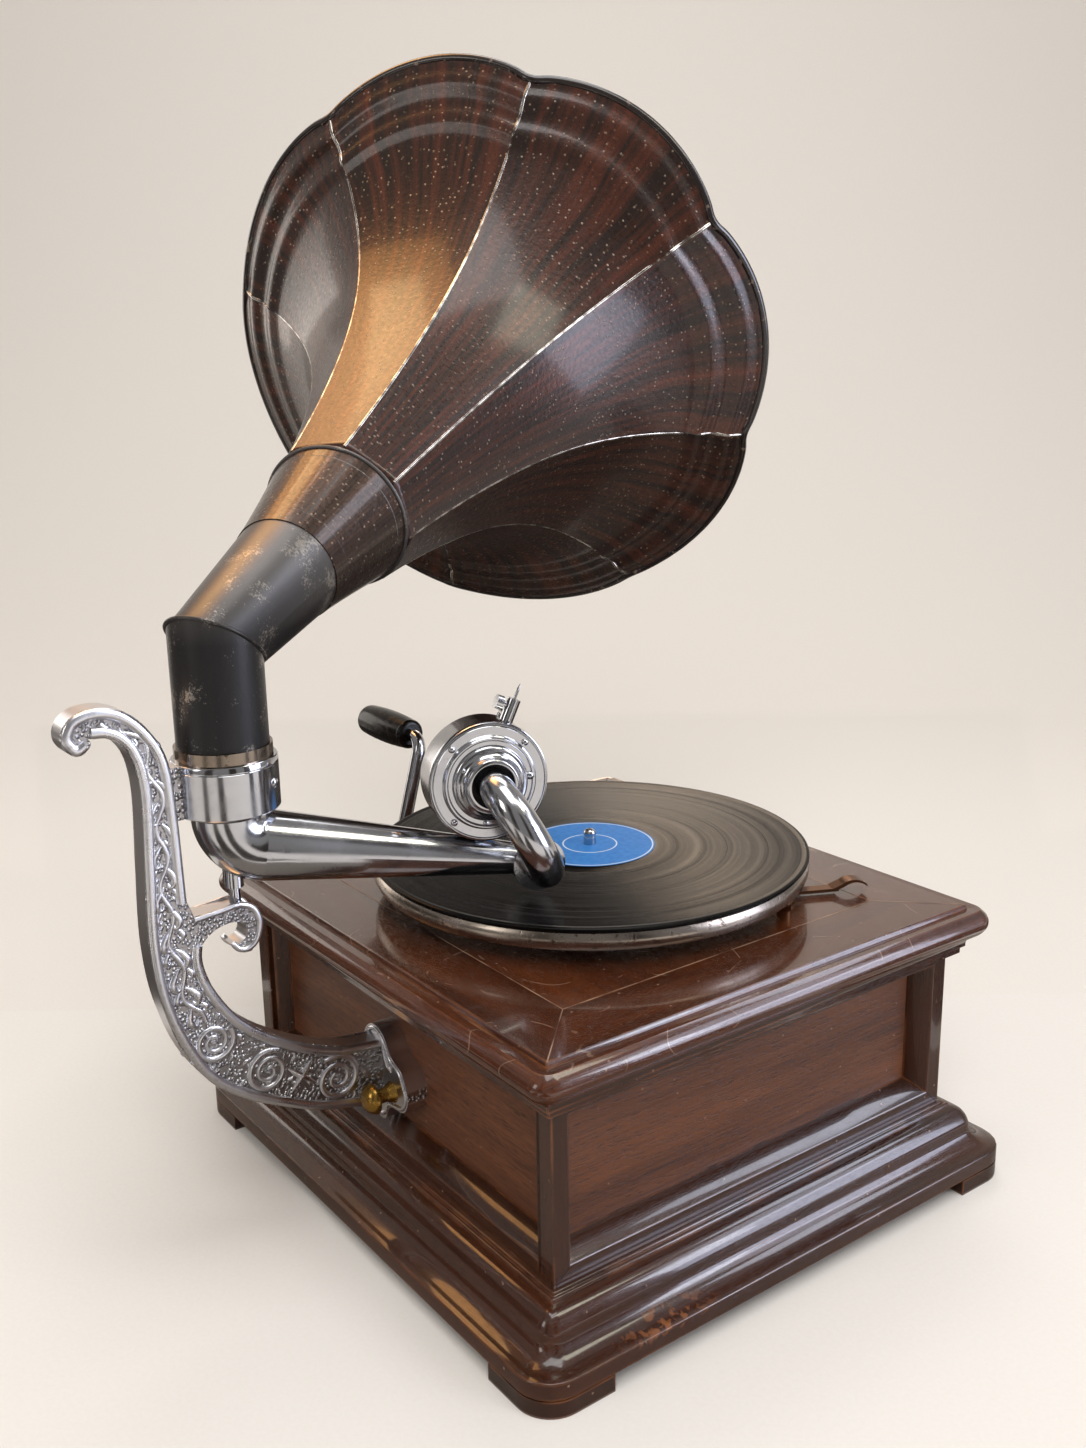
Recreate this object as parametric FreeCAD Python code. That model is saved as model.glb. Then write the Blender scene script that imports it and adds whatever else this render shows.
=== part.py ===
import FreeCAD, Part
import math
import os

# Table gramophone with an outside horn: a wooden case with a spring motor, a turntable with a record,
# and on the back a cast bracket that carries the horn elbow above and the tone arm below.
# Millimetres. x is to the right seen from the front, y to the back, z up.
# The origin is on the floor, under the middle of the case.

V = FreeCAD.Vector

# Case
body_width = 301.0
body_depth = 276.0
body_height = 92.0
foot_height = 9.0
foot_length = 42.0
foot_leg = 26.0
strip_height = 9.0
plinth_height = 33.0
plinth_overhang = 30.0
plinth_corner = 19.0
frame_thickness = 12.0
stile_width = 17.5
top_rail = 13.0
bottom_rail = 16.0
frame_bevel = 4.0
panel_thickness = 6.0
panel_lap = 8.0
bottom_thickness = 6.0
bead_radius = 3.2
cornice_height = 13.0
lid_thickness = 16.0
lid_overhang = 19.0
lid_corner = 12.0
lid_border = 49.0
lid_step = 1.4

# Turntable and record
spindle_y = -4.0
spindle_radius = 3.6
spindle_rise = 9.0
platter_radius = 125.0
platter_gap = 11.7
platter_height = 9.0
platter_top = 3.0
platter_rim = 4.0
felt_thickness = 1.3
record_radius = 125.0
record_thickness = 2.0
label_radius = 37.5
label_thickness = 0.2

# Spring motor
plate_thickness = 3.0
motor_gap = 6.0
motor_floor = 4.0
motor_left = -62.0
motor_side = 42.0
motor_front = -66.0
motor_back = 72.0
pillar_radius = 5.0
pillar_inset = 10.0
barrel_x = 62.0
barrel_radius = 37.0
barrel_height = 34.0
barrel_wall = 2.0
arbor_radius = 5.0
spring_outer = 32.0
gear_module = 1.5
barrel_teeth = 56
pinion_teeth = 10
train_teeth = 48
gear_thickness = 4.0
bevel_gear_radius = 30.0
bevel_pinion_radius = 15.0
bevel_face = 9.0
governor_wheel_radius = 20.0
governor_worm_radius = 5.0
governor_shaft_radius = 2.0
governor_ball_radius = 7.0
governor_ball_reach = 15.0
governor_length = 62.0
governor_drop = 31.0
running_gap = 0.05
mesh_gap = 0.4

# Winding crank
crank_y = -8.1
crank_z = 108.0
crank_radius = 4.7
crank_clearance = 49.5
crank_throw = 92.1
crank_lean = 15.3
crank_bend = 11.0
grip_length = 65.5
grip_radius = 12.2
bush_flange = 12.0
bush_radius = 8.0

# Horn column: the bracket, and the collar in which horn and tone arm turn
column_x = 8.0
column_reach = 74.0
bracket_thickness = 12.0
foot_plate = 12.0
collar_bottom = 252.5
collar_height = 26.0
collar_radius = 25.5
collar_wall = 4.0
turn_gap = 0.3
ledge_top = 203.5
pin_radius = 3.0
pin_cup_radius = 5.0
pin_cup_depth = 4.0
screw_x = 15.0
screw_z = 80.0
screw_radius = 4.0
screw_head_radius = 8.4
screw_reach = 13.0

# Tone arm, gooseneck and sound box
arm_swing = 18.1
arm_drop = 10.6
arm_length = 155.0
arm_bend = 18.6
arm_flare = 3.0
arm_flare_radius = 20.8
arm_root_radius = 18.0
arm_tip_radius = 7.8
arm_wall = 1.4
knuckle_radius = 14.0
knuckle_back = 7.0
knuckle_front = 9.0
neck_radius = 9.0
neck_wall = 1.4
neck_reach = 54.5
neck_angle = 118.7
box_radius = 31.2
box_depth = 20.0
box_wall = 3.0
hub_radius = 14.0
hub_bore = 11.2
hub_height = 8.0
needle_angle = 66.6
chuck_radius = 3.5
chuck_reach = 43.0
needle_reach = 52.0
needle_radius = 0.8

# Horn
horn_swing = 34.8
horn_rise = 18.7
elbow_radius = 22.0
elbow_wall = 1.5
elbow_height = 54.5
elbow_cone_length = 86.0
elbow_cone_radius = 29.5
ferrule_height = 6.0
neck_ring_at = 139.0
neck_ring_radius = 41.0
neck_insert = 14.0
horn_length = 390.0
mouth_radius = 182.4
horn_panels = 8
lobe_bulge = 6.5
lobe_reach = 12.0
seam_gap = 0.2
sheet = 1.4
rim_radius = 2.2
rim_end_gap = 1.2

# Brake lever on the lid
brake_x = -87.0
brake_y = -76.0
brake_angle = -116.0
brake_length = 47.0
brake_width = 7.0
brake_thickness = 1.8
brake_lift = 2.0
brake_post_radius = 3.0
pad_angle = 129.6
pad_reach = 14.0
pad_radius = 4.0
pad_top = 16.5

# Levels and halves that follow from the sizes above
half_x = body_width / 2
half_y = body_depth / 2
strip_top = foot_height + strip_height
plinth_top = foot_height + plinth_height
body_top = plinth_top + body_height
lid_bottom = body_top + cornice_height
lid_top = lid_bottom + lid_thickness
wall = frame_thickness + panel_thickness
platter_bottom = lid_top + platter_gap
platter_face = platter_bottom + platter_height
record_bottom = platter_face + felt_thickness
record_top = record_bottom + record_thickness
bottom_board_top = foot_height + 3.0 + bottom_thickness
motor_plate_top = lid_bottom - motor_gap
motor_plate_bottom = motor_plate_top - plate_thickness
base_plate_bottom = bottom_board_top + motor_floor
base_plate_top = base_plate_bottom + plate_thickness
case_inside_y = half_y - frame_thickness
motor_right = barrel_x + motor_side
crank_reach = half_x + plinth_overhang + crank_clearance
column_y = half_y + column_reach

saved = []


def save(name, *solids):
    shape = solids[0] if len(solids) == 1 else Part.makeCompound(list(solids))
    os.makedirs("parts", exist_ok=True)
    shape.exportStep("parts/" + name + ".step")
    saved.append((name, len(solids), shape.isValid(), shape.Volume))


def box(x0, x1, y0, y1, z0, z1):
    return Part.makeBox(x1 - x0, y1 - y0, z1 - z0, V(x0, y0, z0))


def rod(radius, start, end):
    axis = end - start
    return Part.makeCylinder(radius, axis.Length, start, axis)


def pipe(outer, inner, start, end):
    return rod(outer, start, end).cut(rod(inner, start, end))


def outline(place, start, *steps):
    """Closed flat face. Each step is a point for a straight edge, or a middle and an end point for an arc."""
    edges = []
    here = start
    for step in steps + (start,):
        if isinstance(step[0], tuple):
            middle, end = step
            edges.append(Part.Arc(place(*here), place(*middle), place(*end)).toShape())
        else:
            end = step
            if math.dist(here, end) > 1e-6:
                edges.append(Part.makeLine(place(*here), place(*end)))
        here = end
    return Part.Face(Part.Wire(edges))


def turned(origin, axis, across, start, *steps):
    """Solid of revolution about axis through origin, from an outline in (radius, height)."""
    face = outline(lambda r, h: origin + across * r + axis * h, start, *steps)
    return face.revolve(origin, axis, 360)


def rounded_block(length, width, z0, z1, radius):
    block = box(-length / 2, length / 2, -width / 2, width / 2, z0, z1)
    upright = [e for e in block.Edges if abs(e.tangentAt(e.FirstParameter).z) > 0.9]
    return block.makeFillet(radius, upright)


def mitred_frame(start, *steps):
    """Four mitred lengths round the case, from an outline in (distance out from the body face, z)."""
    reach = 60.0
    lengths = []
    for along_x in (False, True):
        near = half_y if along_x else half_x
        far = half_x if along_x else half_y
        if along_x:
            place = lambda out, z: V(-far - reach, near + out, z)
        else:
            place = lambda out, z: V(near + out, -far - reach, z)
        run = V(2 * (far + reach), 0, 0) if along_x else V(0, 2 * (far + reach), 0)
        length = outline(place, start, *steps).extrude(run)
        corners = [(near - reach, far - reach), (near + reach, far + reach),
                   (near + reach, -far - reach), (near - reach, -far + reach)]
        if along_x:
            corners = [(b, a) for a, b in corners]
        points = [V(a, b, -reach) for a, b in corners]
        wedge = Part.Face(Part.makePolygon(points + points[:1])).extrude(V(0, 0, 500))
        length = length.common(wedge)
        normal = V(0, 1, 0) if along_x else V(1, 0, 0)
        lengths += [length, length.mirror(V(0, 0, 0), normal)]
    return [piece.Solids[0] for piece in lengths]


def gear_blank(teeth, centre, z0, thickness, tooth_at):
    """Spur wheel with straight-sided teeth, one tooth centred on the direction tooth_at in radians."""
    pitch = 2 * math.pi / teeth
    pitch_radius = gear_module * teeth / 2
    tip = pitch_radius + 0.8 * gear_module
    root = pitch_radius - 1.15 * gear_module
    points = []
    for tooth in range(teeth):
        middle = tooth_at + tooth * pitch
        for radius, turn in ((root, -0.26), (tip, -0.12), (tip, 0.12), (root, 0.26)):
            angle = middle + turn * pitch
            points.append(V(centre.x + radius * math.cos(angle), centre.y + radius * math.sin(angle), z0))
    return Part.Face(Part.makePolygon(points + points[:1])).extrude(V(0, 0, thickness))


# Case: plinth, feet, framed sides with recessed panels, corner beads, cornice and lid

def make_case():
    plinth = mitred_frame(
        (-wall, foot_height), (plinth_overhang, foot_height), (plinth_overhang, strip_top),
        ((plinth_overhang - 11, strip_top + 3.0), (plinth_overhang - 14.5, strip_top + 11)),
        (plinth_overhang - 14.5, strip_top + 13),
        ((plinth_overhang - 17, strip_top + 19.5), (plinth_overhang - 22.5, plinth_top - 2.8)),
        (4.5, plinth_top - 2.8), (4.5, plinth_top - 2.0), ((3.8, plinth_top - 0.5), (2.5, plinth_top)),
        (-wall, plinth_top))
    plan_x = body_width + 2 * plinth_overhang
    plan_y = body_depth + 2 * plinth_overhang
    corners = rounded_block(plan_x, plan_y, foot_height, plinth_top, plinth_corner)
    save("plinth_moulding", *[length.common(corners).Solids[0] for length in plinth])

    feet = []
    block = rounded_block(plan_x, plan_y, 0, foot_height, plinth_corner)
    for sx in (-1, 1):
        for sy in (-1, 1):
            x = sx * plan_x / 2
            y = sy * plan_y / 2
            long_x = box(min(x, x - sx * foot_length), max(x, x - sx * foot_length),
                         min(y, y - sy * foot_leg), max(y, y - sy * foot_leg), 0, foot_height)
            long_y = box(min(x, x - sx * foot_leg), max(x, x - sx * foot_leg),
                         min(y, y - sy * foot_length), max(y, y - sy * foot_length), 0, foot_height)
            feet.append(long_x.fuse(long_y).removeSplitter().common(block).Solids[0])
    save("corner_feet", *feet)

    inside_x = half_x - wall
    inside_y = half_y - wall
    save("bottom_board", box(-inside_x, inside_x, -inside_y, inside_y,
                             bottom_board_top - bottom_thickness, bottom_board_top))

    notch = 2 * bead_radius
    side_half = half_x - frame_thickness
    opening = (plinth_top + bottom_rail, body_top - top_rail)

    def framed(width, place_normal, trim):
        """Frame standing on the plinth, in local axes: u along the face, out from the body, z up."""
        half = width / 2
        slab = box(-half, half, -frame_thickness, 0, plinth_top, body_top)
        inner = trim - stile_width
        hole = box(-inner, inner, -frame_thickness, 0, *opening)
        outer = Part.makePolygon([V(u, 0, z) for u, z in (
            (-inner, opening[0]), (inner, opening[0]), (inner, opening[1]),
            (-inner, opening[1]), (-inner, opening[0]))])
        lip = Part.makePolygon([V(u, frame_bevel, z) for u, z in (
            (-inner - 2 * frame_bevel, opening[0] - 2 * frame_bevel),
            (inner + 2 * frame_bevel, opening[0] - 2 * frame_bevel),
            (inner + 2 * frame_bevel, opening[1] + 2 * frame_bevel),
            (-inner - 2 * frame_bevel, opening[1] + 2 * frame_bevel),
            (-inner - 2 * frame_bevel, opening[0] - 2 * frame_bevel))])
        bevel = Part.makeLoft([outer, lip], True, True)
        bevel.translate(V(0, -frame_bevel / 2, 0))
        frame = slab.cut(hole).cut(bevel)
        return place_normal(frame)

    def to_back(shape):
        shape.translate(V(0, half_y, 0))
        return shape

    def to_front(shape):
        shape = to_back(shape)
        shape.rotate(V(0, 0, 0), V(0, 0, 1), 180)
        return shape

    def to_left(shape):
        shape.translate(V(0, half_x, 0))
        shape.rotate(V(0, 0, 0), V(0, 0, 1), 90)
        return shape

    def to_right(shape):
        shape = to_left(shape)
        shape.rotate(V(0, 0, 0), V(0, 0, 1), 180)
        return shape

    beads = []
    notches = []
    for sx in (-1, 1):
        for sy in (-1, 1):
            x0 = sx * half_x
            y0 = sy * half_y
            x1 = x0 - sx * notch
            y1 = y0 - sy * notch
            notches.append(box(min(x0, x1), max(x0, x1), min(y0, y1), max(y0, y1), plinth_top, body_top))
            middle = V(x0 - sx * bead_radius, y0 - sy * bead_radius, plinth_top)
            bead = Part.makeCylinder(bead_radius, body_height, middle)
            back = box(min(middle.x, x1), max(middle.x, x1), min(middle.y, y1), max(middle.y, y1),
                       plinth_top, body_top)
            beads.append(bead.fuse(back).removeSplitter())
    save("corner_beads", *beads)
    save("case_back", framed(2 * side_half, to_back, half_x))
    save("case_front", framed(2 * side_half, to_front, half_x))
    for name, place in (("case_left", to_left), ("case_right", to_right)):
        side = framed(body_depth, place, half_y)
        for cut in notches:
            side = side.cut(cut)
        save(name, side)

    low = opening[0] - panel_lap
    high = opening[1] + panel_lap
    screw_holes = [rod(screw_radius, V(column_x + s * screw_x, half_y - wall, screw_z),
                       V(column_x + s * screw_x, half_y, screw_z)) for s in (-1, 1)]
    back = box(-half_x + wall, half_x - wall, half_y - wall, half_y - frame_thickness, low, high)
    for hole in screw_holes:
        back = back.cut(hole)
    save("back_panel", back)
    save("front_panel", box(-half_x + wall, half_x - wall, -half_y + frame_thickness, -half_y + wall, low, high))
    left = box(-half_x + frame_thickness, -half_x + wall, -case_inside_y, case_inside_y, low, high)
    save("left_panel", left)
    right = left.mirror(V(0, 0, 0), V(1, 0, 0))
    crank_hole = rod(bush_radius, V(half_x - wall, crank_y, crank_z), V(half_x, crank_y, crank_z))
    save("right_panel", right.cut(crank_hole))

    cornice = mitred_frame(
        (-wall, body_top), (5.5, body_top), (5.5, body_top + 3.5), (7.5, body_top + 4.5),
        ((9.0, body_top + 9.5), (15.0, lid_bottom)), (-wall, lid_bottom))
    save("cornice", *cornice)

    border_in = lid_overhang - lid_border
    step_at = 7.0
    lid_edge = mitred_frame(
        (border_in, lid_bottom), (15.0, lid_bottom),
        ((lid_overhang, lid_bottom + 7.2), (14.0, lid_top - lid_step)),
        (step_at, lid_top - lid_step), (step_at, lid_top), (border_in, lid_top))
    corners = rounded_block(body_width + 2 * lid_overhang, body_depth + 2 * lid_overhang,
                            lid_bottom, lid_top, lid_corner)
    save("lid_border", *[length.common(corners).Solids[0] for length in lid_edge])
    board_x = half_x + border_in
    board_y = half_y + border_in
    board = box(-board_x, board_x, -board_y, board_y, lid_bottom, lid_top)
    spindle_hole = rod(2 * spindle_radius, V(0, spindle_y, lid_bottom), V(0, spindle_y, lid_top))
    save("lid_board", board.cut(spindle_hole))


# Turntable with its felt, the record and its paper label, all turning on the spindle

def make_turntable():
    centre = V(0, spindle_y, 0)
    up = V(0, 0, 1)
    hub = 16.0
    bore = spindle_radius + running_gap
    platter = turned(
        centre, up, V(1, 0, 0), (bore, platter_bottom), (hub, platter_bottom),
        (hub, platter_face - platter_top), (platter_radius - platter_rim, platter_face - platter_top),
        (platter_radius - platter_rim, platter_bottom), (platter_radius - 1.5, platter_bottom),
        ((platter_radius, platter_bottom + platter_height / 2), (platter_radius - 1.5, platter_face)),
        (bore, platter_face))
    save("turntable", platter)
    save("turntable_felt", pipe(platter_radius - 3.0, hub, V(0, spindle_y, platter_face),
                                V(0, spindle_y, record_bottom)))
    record = pipe(record_radius, bore, V(0, spindle_y, record_bottom), V(0, spindle_y, record_top))
    save("record", record)
    save("record_label", pipe(label_radius, bore, V(0, spindle_y, record_top),
                              V(0, spindle_y, record_top + label_thickness)))


# Spring motor hung under the lid: two plates, barrel with mainspring, gear train and governor

def train_arbor():
    """Place of the intermediate arbor: in mesh with the barrel wheel and with the spindle pinion."""
    to_barrel = gear_module * (barrel_teeth + pinion_teeth) / 2
    to_spindle = gear_module * (train_teeth + pinion_teeth) / 2
    spindle = V(0, spindle_y, 0)
    barrel = V(barrel_x, crank_y, 0)
    apart = (barrel - spindle).Length
    along = (barrel - spindle) * (1 / apart)
    across = V(along.y, -along.x, 0)
    step = (to_spindle ** 2 - to_barrel ** 2 + apart ** 2) / (2 * apart)
    return spindle + along * step + across * math.sqrt(to_spindle ** 2 - step ** 2)


def heading(start, end):
    return math.atan2(end.y - start.y, end.x - start.x)


def make_motor():
    up = V(0, 0, 1)
    spindle = V(0, spindle_y, 0)
    barrel = V(barrel_x, crank_y, 0)
    arbor = train_arbor()
    barrel_bottom = base_plate_top + 3.0
    barrel_top = barrel_bottom + barrel_height
    wheel_z = barrel_top - gear_thickness
    train_z = barrel_top + 4.0
    bevel_top = crank_z - bevel_pinion_radius - mesh_gap
    pivot_radius = governor_shaft_radius

    corners = [V(x, y, 0) for x in (motor_left + pillar_inset, motor_right - pillar_inset)
               for y in (motor_front + pillar_inset, motor_back - pillar_inset)]
    bores = [(spindle, spindle_radius), (barrel, arbor_radius), (arbor, pivot_radius)]
    for name, z0 in (("motor_top_plate", motor_plate_bottom), ("motor_base_plate", base_plate_bottom)):
        plate = box(motor_left, motor_right, motor_front, motor_back, z0, z0 + plate_thickness)
        for place, radius in bores:
            plate = plate.cut(rod(radius + running_gap, place + up * z0, place + up * (z0 + plate_thickness)))
        save(name, plate)
    save("motor_pillars", *[rod(pillar_radius, c + up * base_plate_top, c + up * motor_plate_bottom)
                            for c in corners])
    save("motor_bushes", *[rod(1.6 * pillar_radius, c + up * motor_plate_top, c + up * lid_bottom)
                           for c in corners])

    to_arbor = heading(barrel, arbor)
    bore = arbor_radius + running_gap
    drum = rod(barrel_radius, barrel + up * barrel_bottom, barrel + up * barrel_top)
    drum = drum.fuse(gear_blank(barrel_teeth, barrel, wheel_z, gear_thickness, to_arbor))
    room = rod(barrel_radius - barrel_wall, barrel + up * (barrel_bottom + barrel_wall),
               barrel + up * (barrel_top - barrel_wall))
    bore_rod = rod(bore, barrel + up * barrel_bottom, barrel + up * barrel_top)
    save("spring_barrel", drum.cut(room).cut(bore_rod))
    core = arbor_radius + 4.0
    save("mainspring", pipe(spring_outer, core, barrel + up * (barrel_bottom + 2 * barrel_wall),
                            barrel + up * (barrel_top - 2 * barrel_wall)))
    arbor_rod = rod(arbor_radius, barrel + up * base_plate_bottom, barrel + up * motor_plate_top)
    arbor_core = pipe(core - turn_gap, arbor_radius - 1.0, barrel + up * (barrel_bottom + 2 * barrel_wall),
                      barrel + up * (barrel_top - 2 * barrel_wall))
    save("barrel_arbor", arbor_rod.fuse(arbor_core).removeSplitter())

    rim = bevel_gear_radius
    bevel = turned(barrel, up, V(1, 0, 0), (bore, bevel_top - bevel_face), (rim, bevel_top - bevel_face),
                   (rim, bevel_top - bevel_pinion_radius * bevel_face / rim), (rim - bevel_face, bevel_top),
                   (bore, bevel_top))
    slots = []
    for tooth in range(30):
        slot = box(rim - bevel_face - 1, rim + 1, -0.8, 0.8, bevel_top - 3.0, bevel_top + 1)
        slot.rotate(V(0, 0, 0), up, tooth * 12)
        slot.translate(barrel)
        slots.append(slot)
    save("winding_gear", bevel.cut(Part.makeCompound(slots)))

    to_barrel = heading(arbor, barrel)
    to_spindle = heading(arbor, spindle)
    pinion_pitch = math.pi / pinion_teeth
    shaft = rod(pivot_radius, arbor + up * base_plate_bottom, arbor + up * motor_plate_top)
    small = gear_blank(pinion_teeth, arbor, wheel_z - 1, gear_thickness + 2, to_barrel + pinion_pitch)
    large = gear_blank(train_teeth, arbor, train_z, gear_thickness, to_spindle)
    sleeve = rod(5.0, arbor + up * (wheel_z - 1), arbor + up * (train_z + gear_thickness + 3))
    save("train_wheel", shaft.fuse(sleeve).fuse(small).fuse(large).removeSplitter())

    pinion_at = heading(spindle, arbor) + pinion_pitch
    collar_top = platter_bottom
    wheel_mid = motor_plate_bottom - governor_drop
    spindle_top = record_top + spindle_rise
    tip = 2.0
    staff = turned(
        spindle, up, V(1, 0, 0), (0, base_plate_bottom), (spindle_radius, base_plate_bottom),
        (spindle_radius, collar_top - 5), (2.4 * spindle_radius, collar_top - 5),
        (2.4 * spindle_radius, collar_top), (spindle_radius, collar_top),
        (spindle_radius, spindle_top - tip),
        ((0.8 * spindle_radius, spindle_top - 0.6), (0.4 * spindle_radius, spindle_top)), (0, spindle_top))
    pinion = gear_blank(pinion_teeth, spindle, train_z - 1, gear_thickness + 2, pinion_at)
    save("spindle", staff.fuse(pinion).removeSplitter())
    wheel = turned(spindle, up, V(1, 0, 0), (spindle_radius + running_gap, wheel_mid - 4),
                   (2.2 * spindle_radius, wheel_mid - 4), (2.2 * spindle_radius, wheel_mid - 2.5),
                   (governor_wheel_radius, wheel_mid - 2.5), (governor_wheel_radius, wheel_mid + 2.5),
                   (spindle_radius + running_gap, wheel_mid + 2.5))
    notches = []
    for tooth in range(40):
        notch = box(governor_wheel_radius - 1.2, governor_wheel_radius + 1, -0.6, 0.6,
                    wheel_mid - 3, wheel_mid + 3)
        notch.rotate(V(0, 0, 0), up, tooth * 9)
        notch.translate(spindle)
        notches.append(notch)
    save("governor_drive_wheel", wheel.cut(Part.makeCompound(notches)))

    axis_y = spindle_y - governor_wheel_radius - governor_worm_radius - mesh_gap
    right_end = V(14, axis_y, wheel_mid)
    left_end = right_end - V(governor_length, 0, 0)
    shaft = rod(governor_shaft_radius, left_end, right_end)
    worm = rod(governor_worm_radius, right_end - V(22, 0, 0), right_end - V(6, 0, 0))
    grooves = []
    for turn in range(7):
        x = right_end.x - 21 + 2.1 * turn
        grooves.append(pipe(governor_worm_radius + 1, governor_worm_radius - 1, V(x, axis_y, wheel_mid),
                            V(x + 0.8, axis_y, wheel_mid)))
    disc = rod(11.0, left_end + V(6, 0, 0), left_end + V(8, 0, 0))
    hub_a = rod(4.0, left_end + V(8, 0, 0), left_end + V(12, 0, 0))
    hub_b = rod(4.0, left_end + V(34, 0, 0), left_end + V(38, 0, 0))
    save("governor_shaft", shaft.fuse(worm).fuse(disc).fuse(hub_a).fuse(hub_b).removeSplitter()
         .cut(Part.makeCompound(grooves)))
    balls = []
    springs = []
    half = governor_ball_radius
    for third in range(3):
        turn = third * 120
        leaf = box(left_end.x + 8, left_end.x + 38, -2.5, 2.5, 0, 0.5)
        leaf.translate(V(0, 0, 4.0))
        ball_x = left_end.x + 23
        ball = Part.makeSphere(half, V(ball_x, 0, 4.5 + half))
        ball = ball.common(box(ball_x - half, ball_x + half, -half, half, 4.5, 4.5 + 2 * half))
        for part, group in ((ball, balls), (leaf, springs)):
            part.translate(V(0, axis_y, wheel_mid))
            part.rotate(V(0, axis_y, wheel_mid), V(1, 0, 0), turn)
            group.append(part)
    save("governor_weights", *balls)
    save("governor_springs", *springs)
    hangers = []
    for x in (left_end.x, right_end.x - 4):
        hanger = box(x, x + 4, axis_y - 6, axis_y + 6, wheel_mid - 6, motor_plate_bottom)
        hangers.append(hanger.cut(rod(governor_shaft_radius + running_gap, V(x, axis_y, wheel_mid),
                                      V(x + 4, axis_y, wheel_mid))))
    save("governor_brackets", *hangers)


# Winding crank: shaft, bent rod and bevel pinion, the turning grip and the bush in the case side

def crank_frame():
    lean = math.radians(crank_lean)
    return V(0, -math.sin(lean), math.cos(lean))


def make_crank():
    x_axis = V(1, 0, 0)
    rise = crank_frame()
    bend = crank_bend
    root = V(0, crank_y, crank_z)
    inner_end = barrel_x + bevel_gear_radius - bevel_face + mesh_gap
    shaft_end = root + x_axis * inner_end
    corner = root + x_axis * crank_reach
    top = corner + rise * crank_throw
    tail = top + x_axis * (bend + grip_length - 12 - running_gap)
    k = bend * (1 - math.sqrt(0.5))
    path = [Part.makeLine(shaft_end, corner - x_axis * bend),
            Part.Arc(corner - x_axis * bend, corner - x_axis * k + rise * k, corner + rise * bend).toShape(),
            Part.makeLine(corner + rise * bend, top - rise * bend),
            Part.Arc(top - rise * bend, top - rise * k + x_axis * k, top + x_axis * bend).toShape(),
            Part.makeLine(top + x_axis * bend, tail)]
    circle = Part.Wire(Part.makeCircle(crank_radius, shaft_end, x_axis))
    bent = Part.Wire(path).makePipeShell([circle], True, True)
    pinion = turned(root, x_axis, V(0, 1, 0), (0, inner_end),
                    (bevel_pinion_radius * (1 - bevel_face / bevel_gear_radius), inner_end),
                    (bevel_pinion_radius, inner_end + bevel_face), (bevel_pinion_radius, inner_end + 12),
                    (0, inner_end + 12))
    slots = []
    for tooth in range(15):
        slot = box(inner_end - 1, inner_end + bevel_face + 4, -0.7, 0.7,
                   bevel_pinion_radius - 6.0, bevel_pinion_radius + 1)
        slot.rotate(V(0, 0, 0), x_axis, tooth * 24 + 12)
        slot.translate(root)
        slots.append(slot)
    save("crank", bent.fuse(pinion.cut(Part.makeCompound(slots))).removeSplitter())

    start = bend + 2.0
    end = bend + grip_length
    bore = crank_radius + running_gap
    r = grip_radius
    grip = turned(top, x_axis, V(0, 1, 0), (bore, start), (0.6 * r, start),
                  ((0.8 * r, start + 1), (0.88 * r, start + 4)),
                  ((r, (start + end) / 2), (0.9 * r, end - 5)),
                  ((0.72 * r, end - 1.2), (0.4 * r, end)), (0, end), (0, end - 12), (bore, end - 12))
    save("crank_grip", grip)
    face = half_x - frame_thickness
    flange = pipe(bush_flange, bore, V(face, crank_y, crank_z), V(face + 3, crank_y, crank_z))
    sleeve = pipe(bush_radius, bore, V(face - panel_thickness, crank_y, crank_z), V(face, crank_y, crank_z))
    save("crank_bush", flange.fuse(sleeve).removeSplitter())


# Horn column: bracket casting with its foot, thumb screws, collar and the pin under the tone arm

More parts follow.
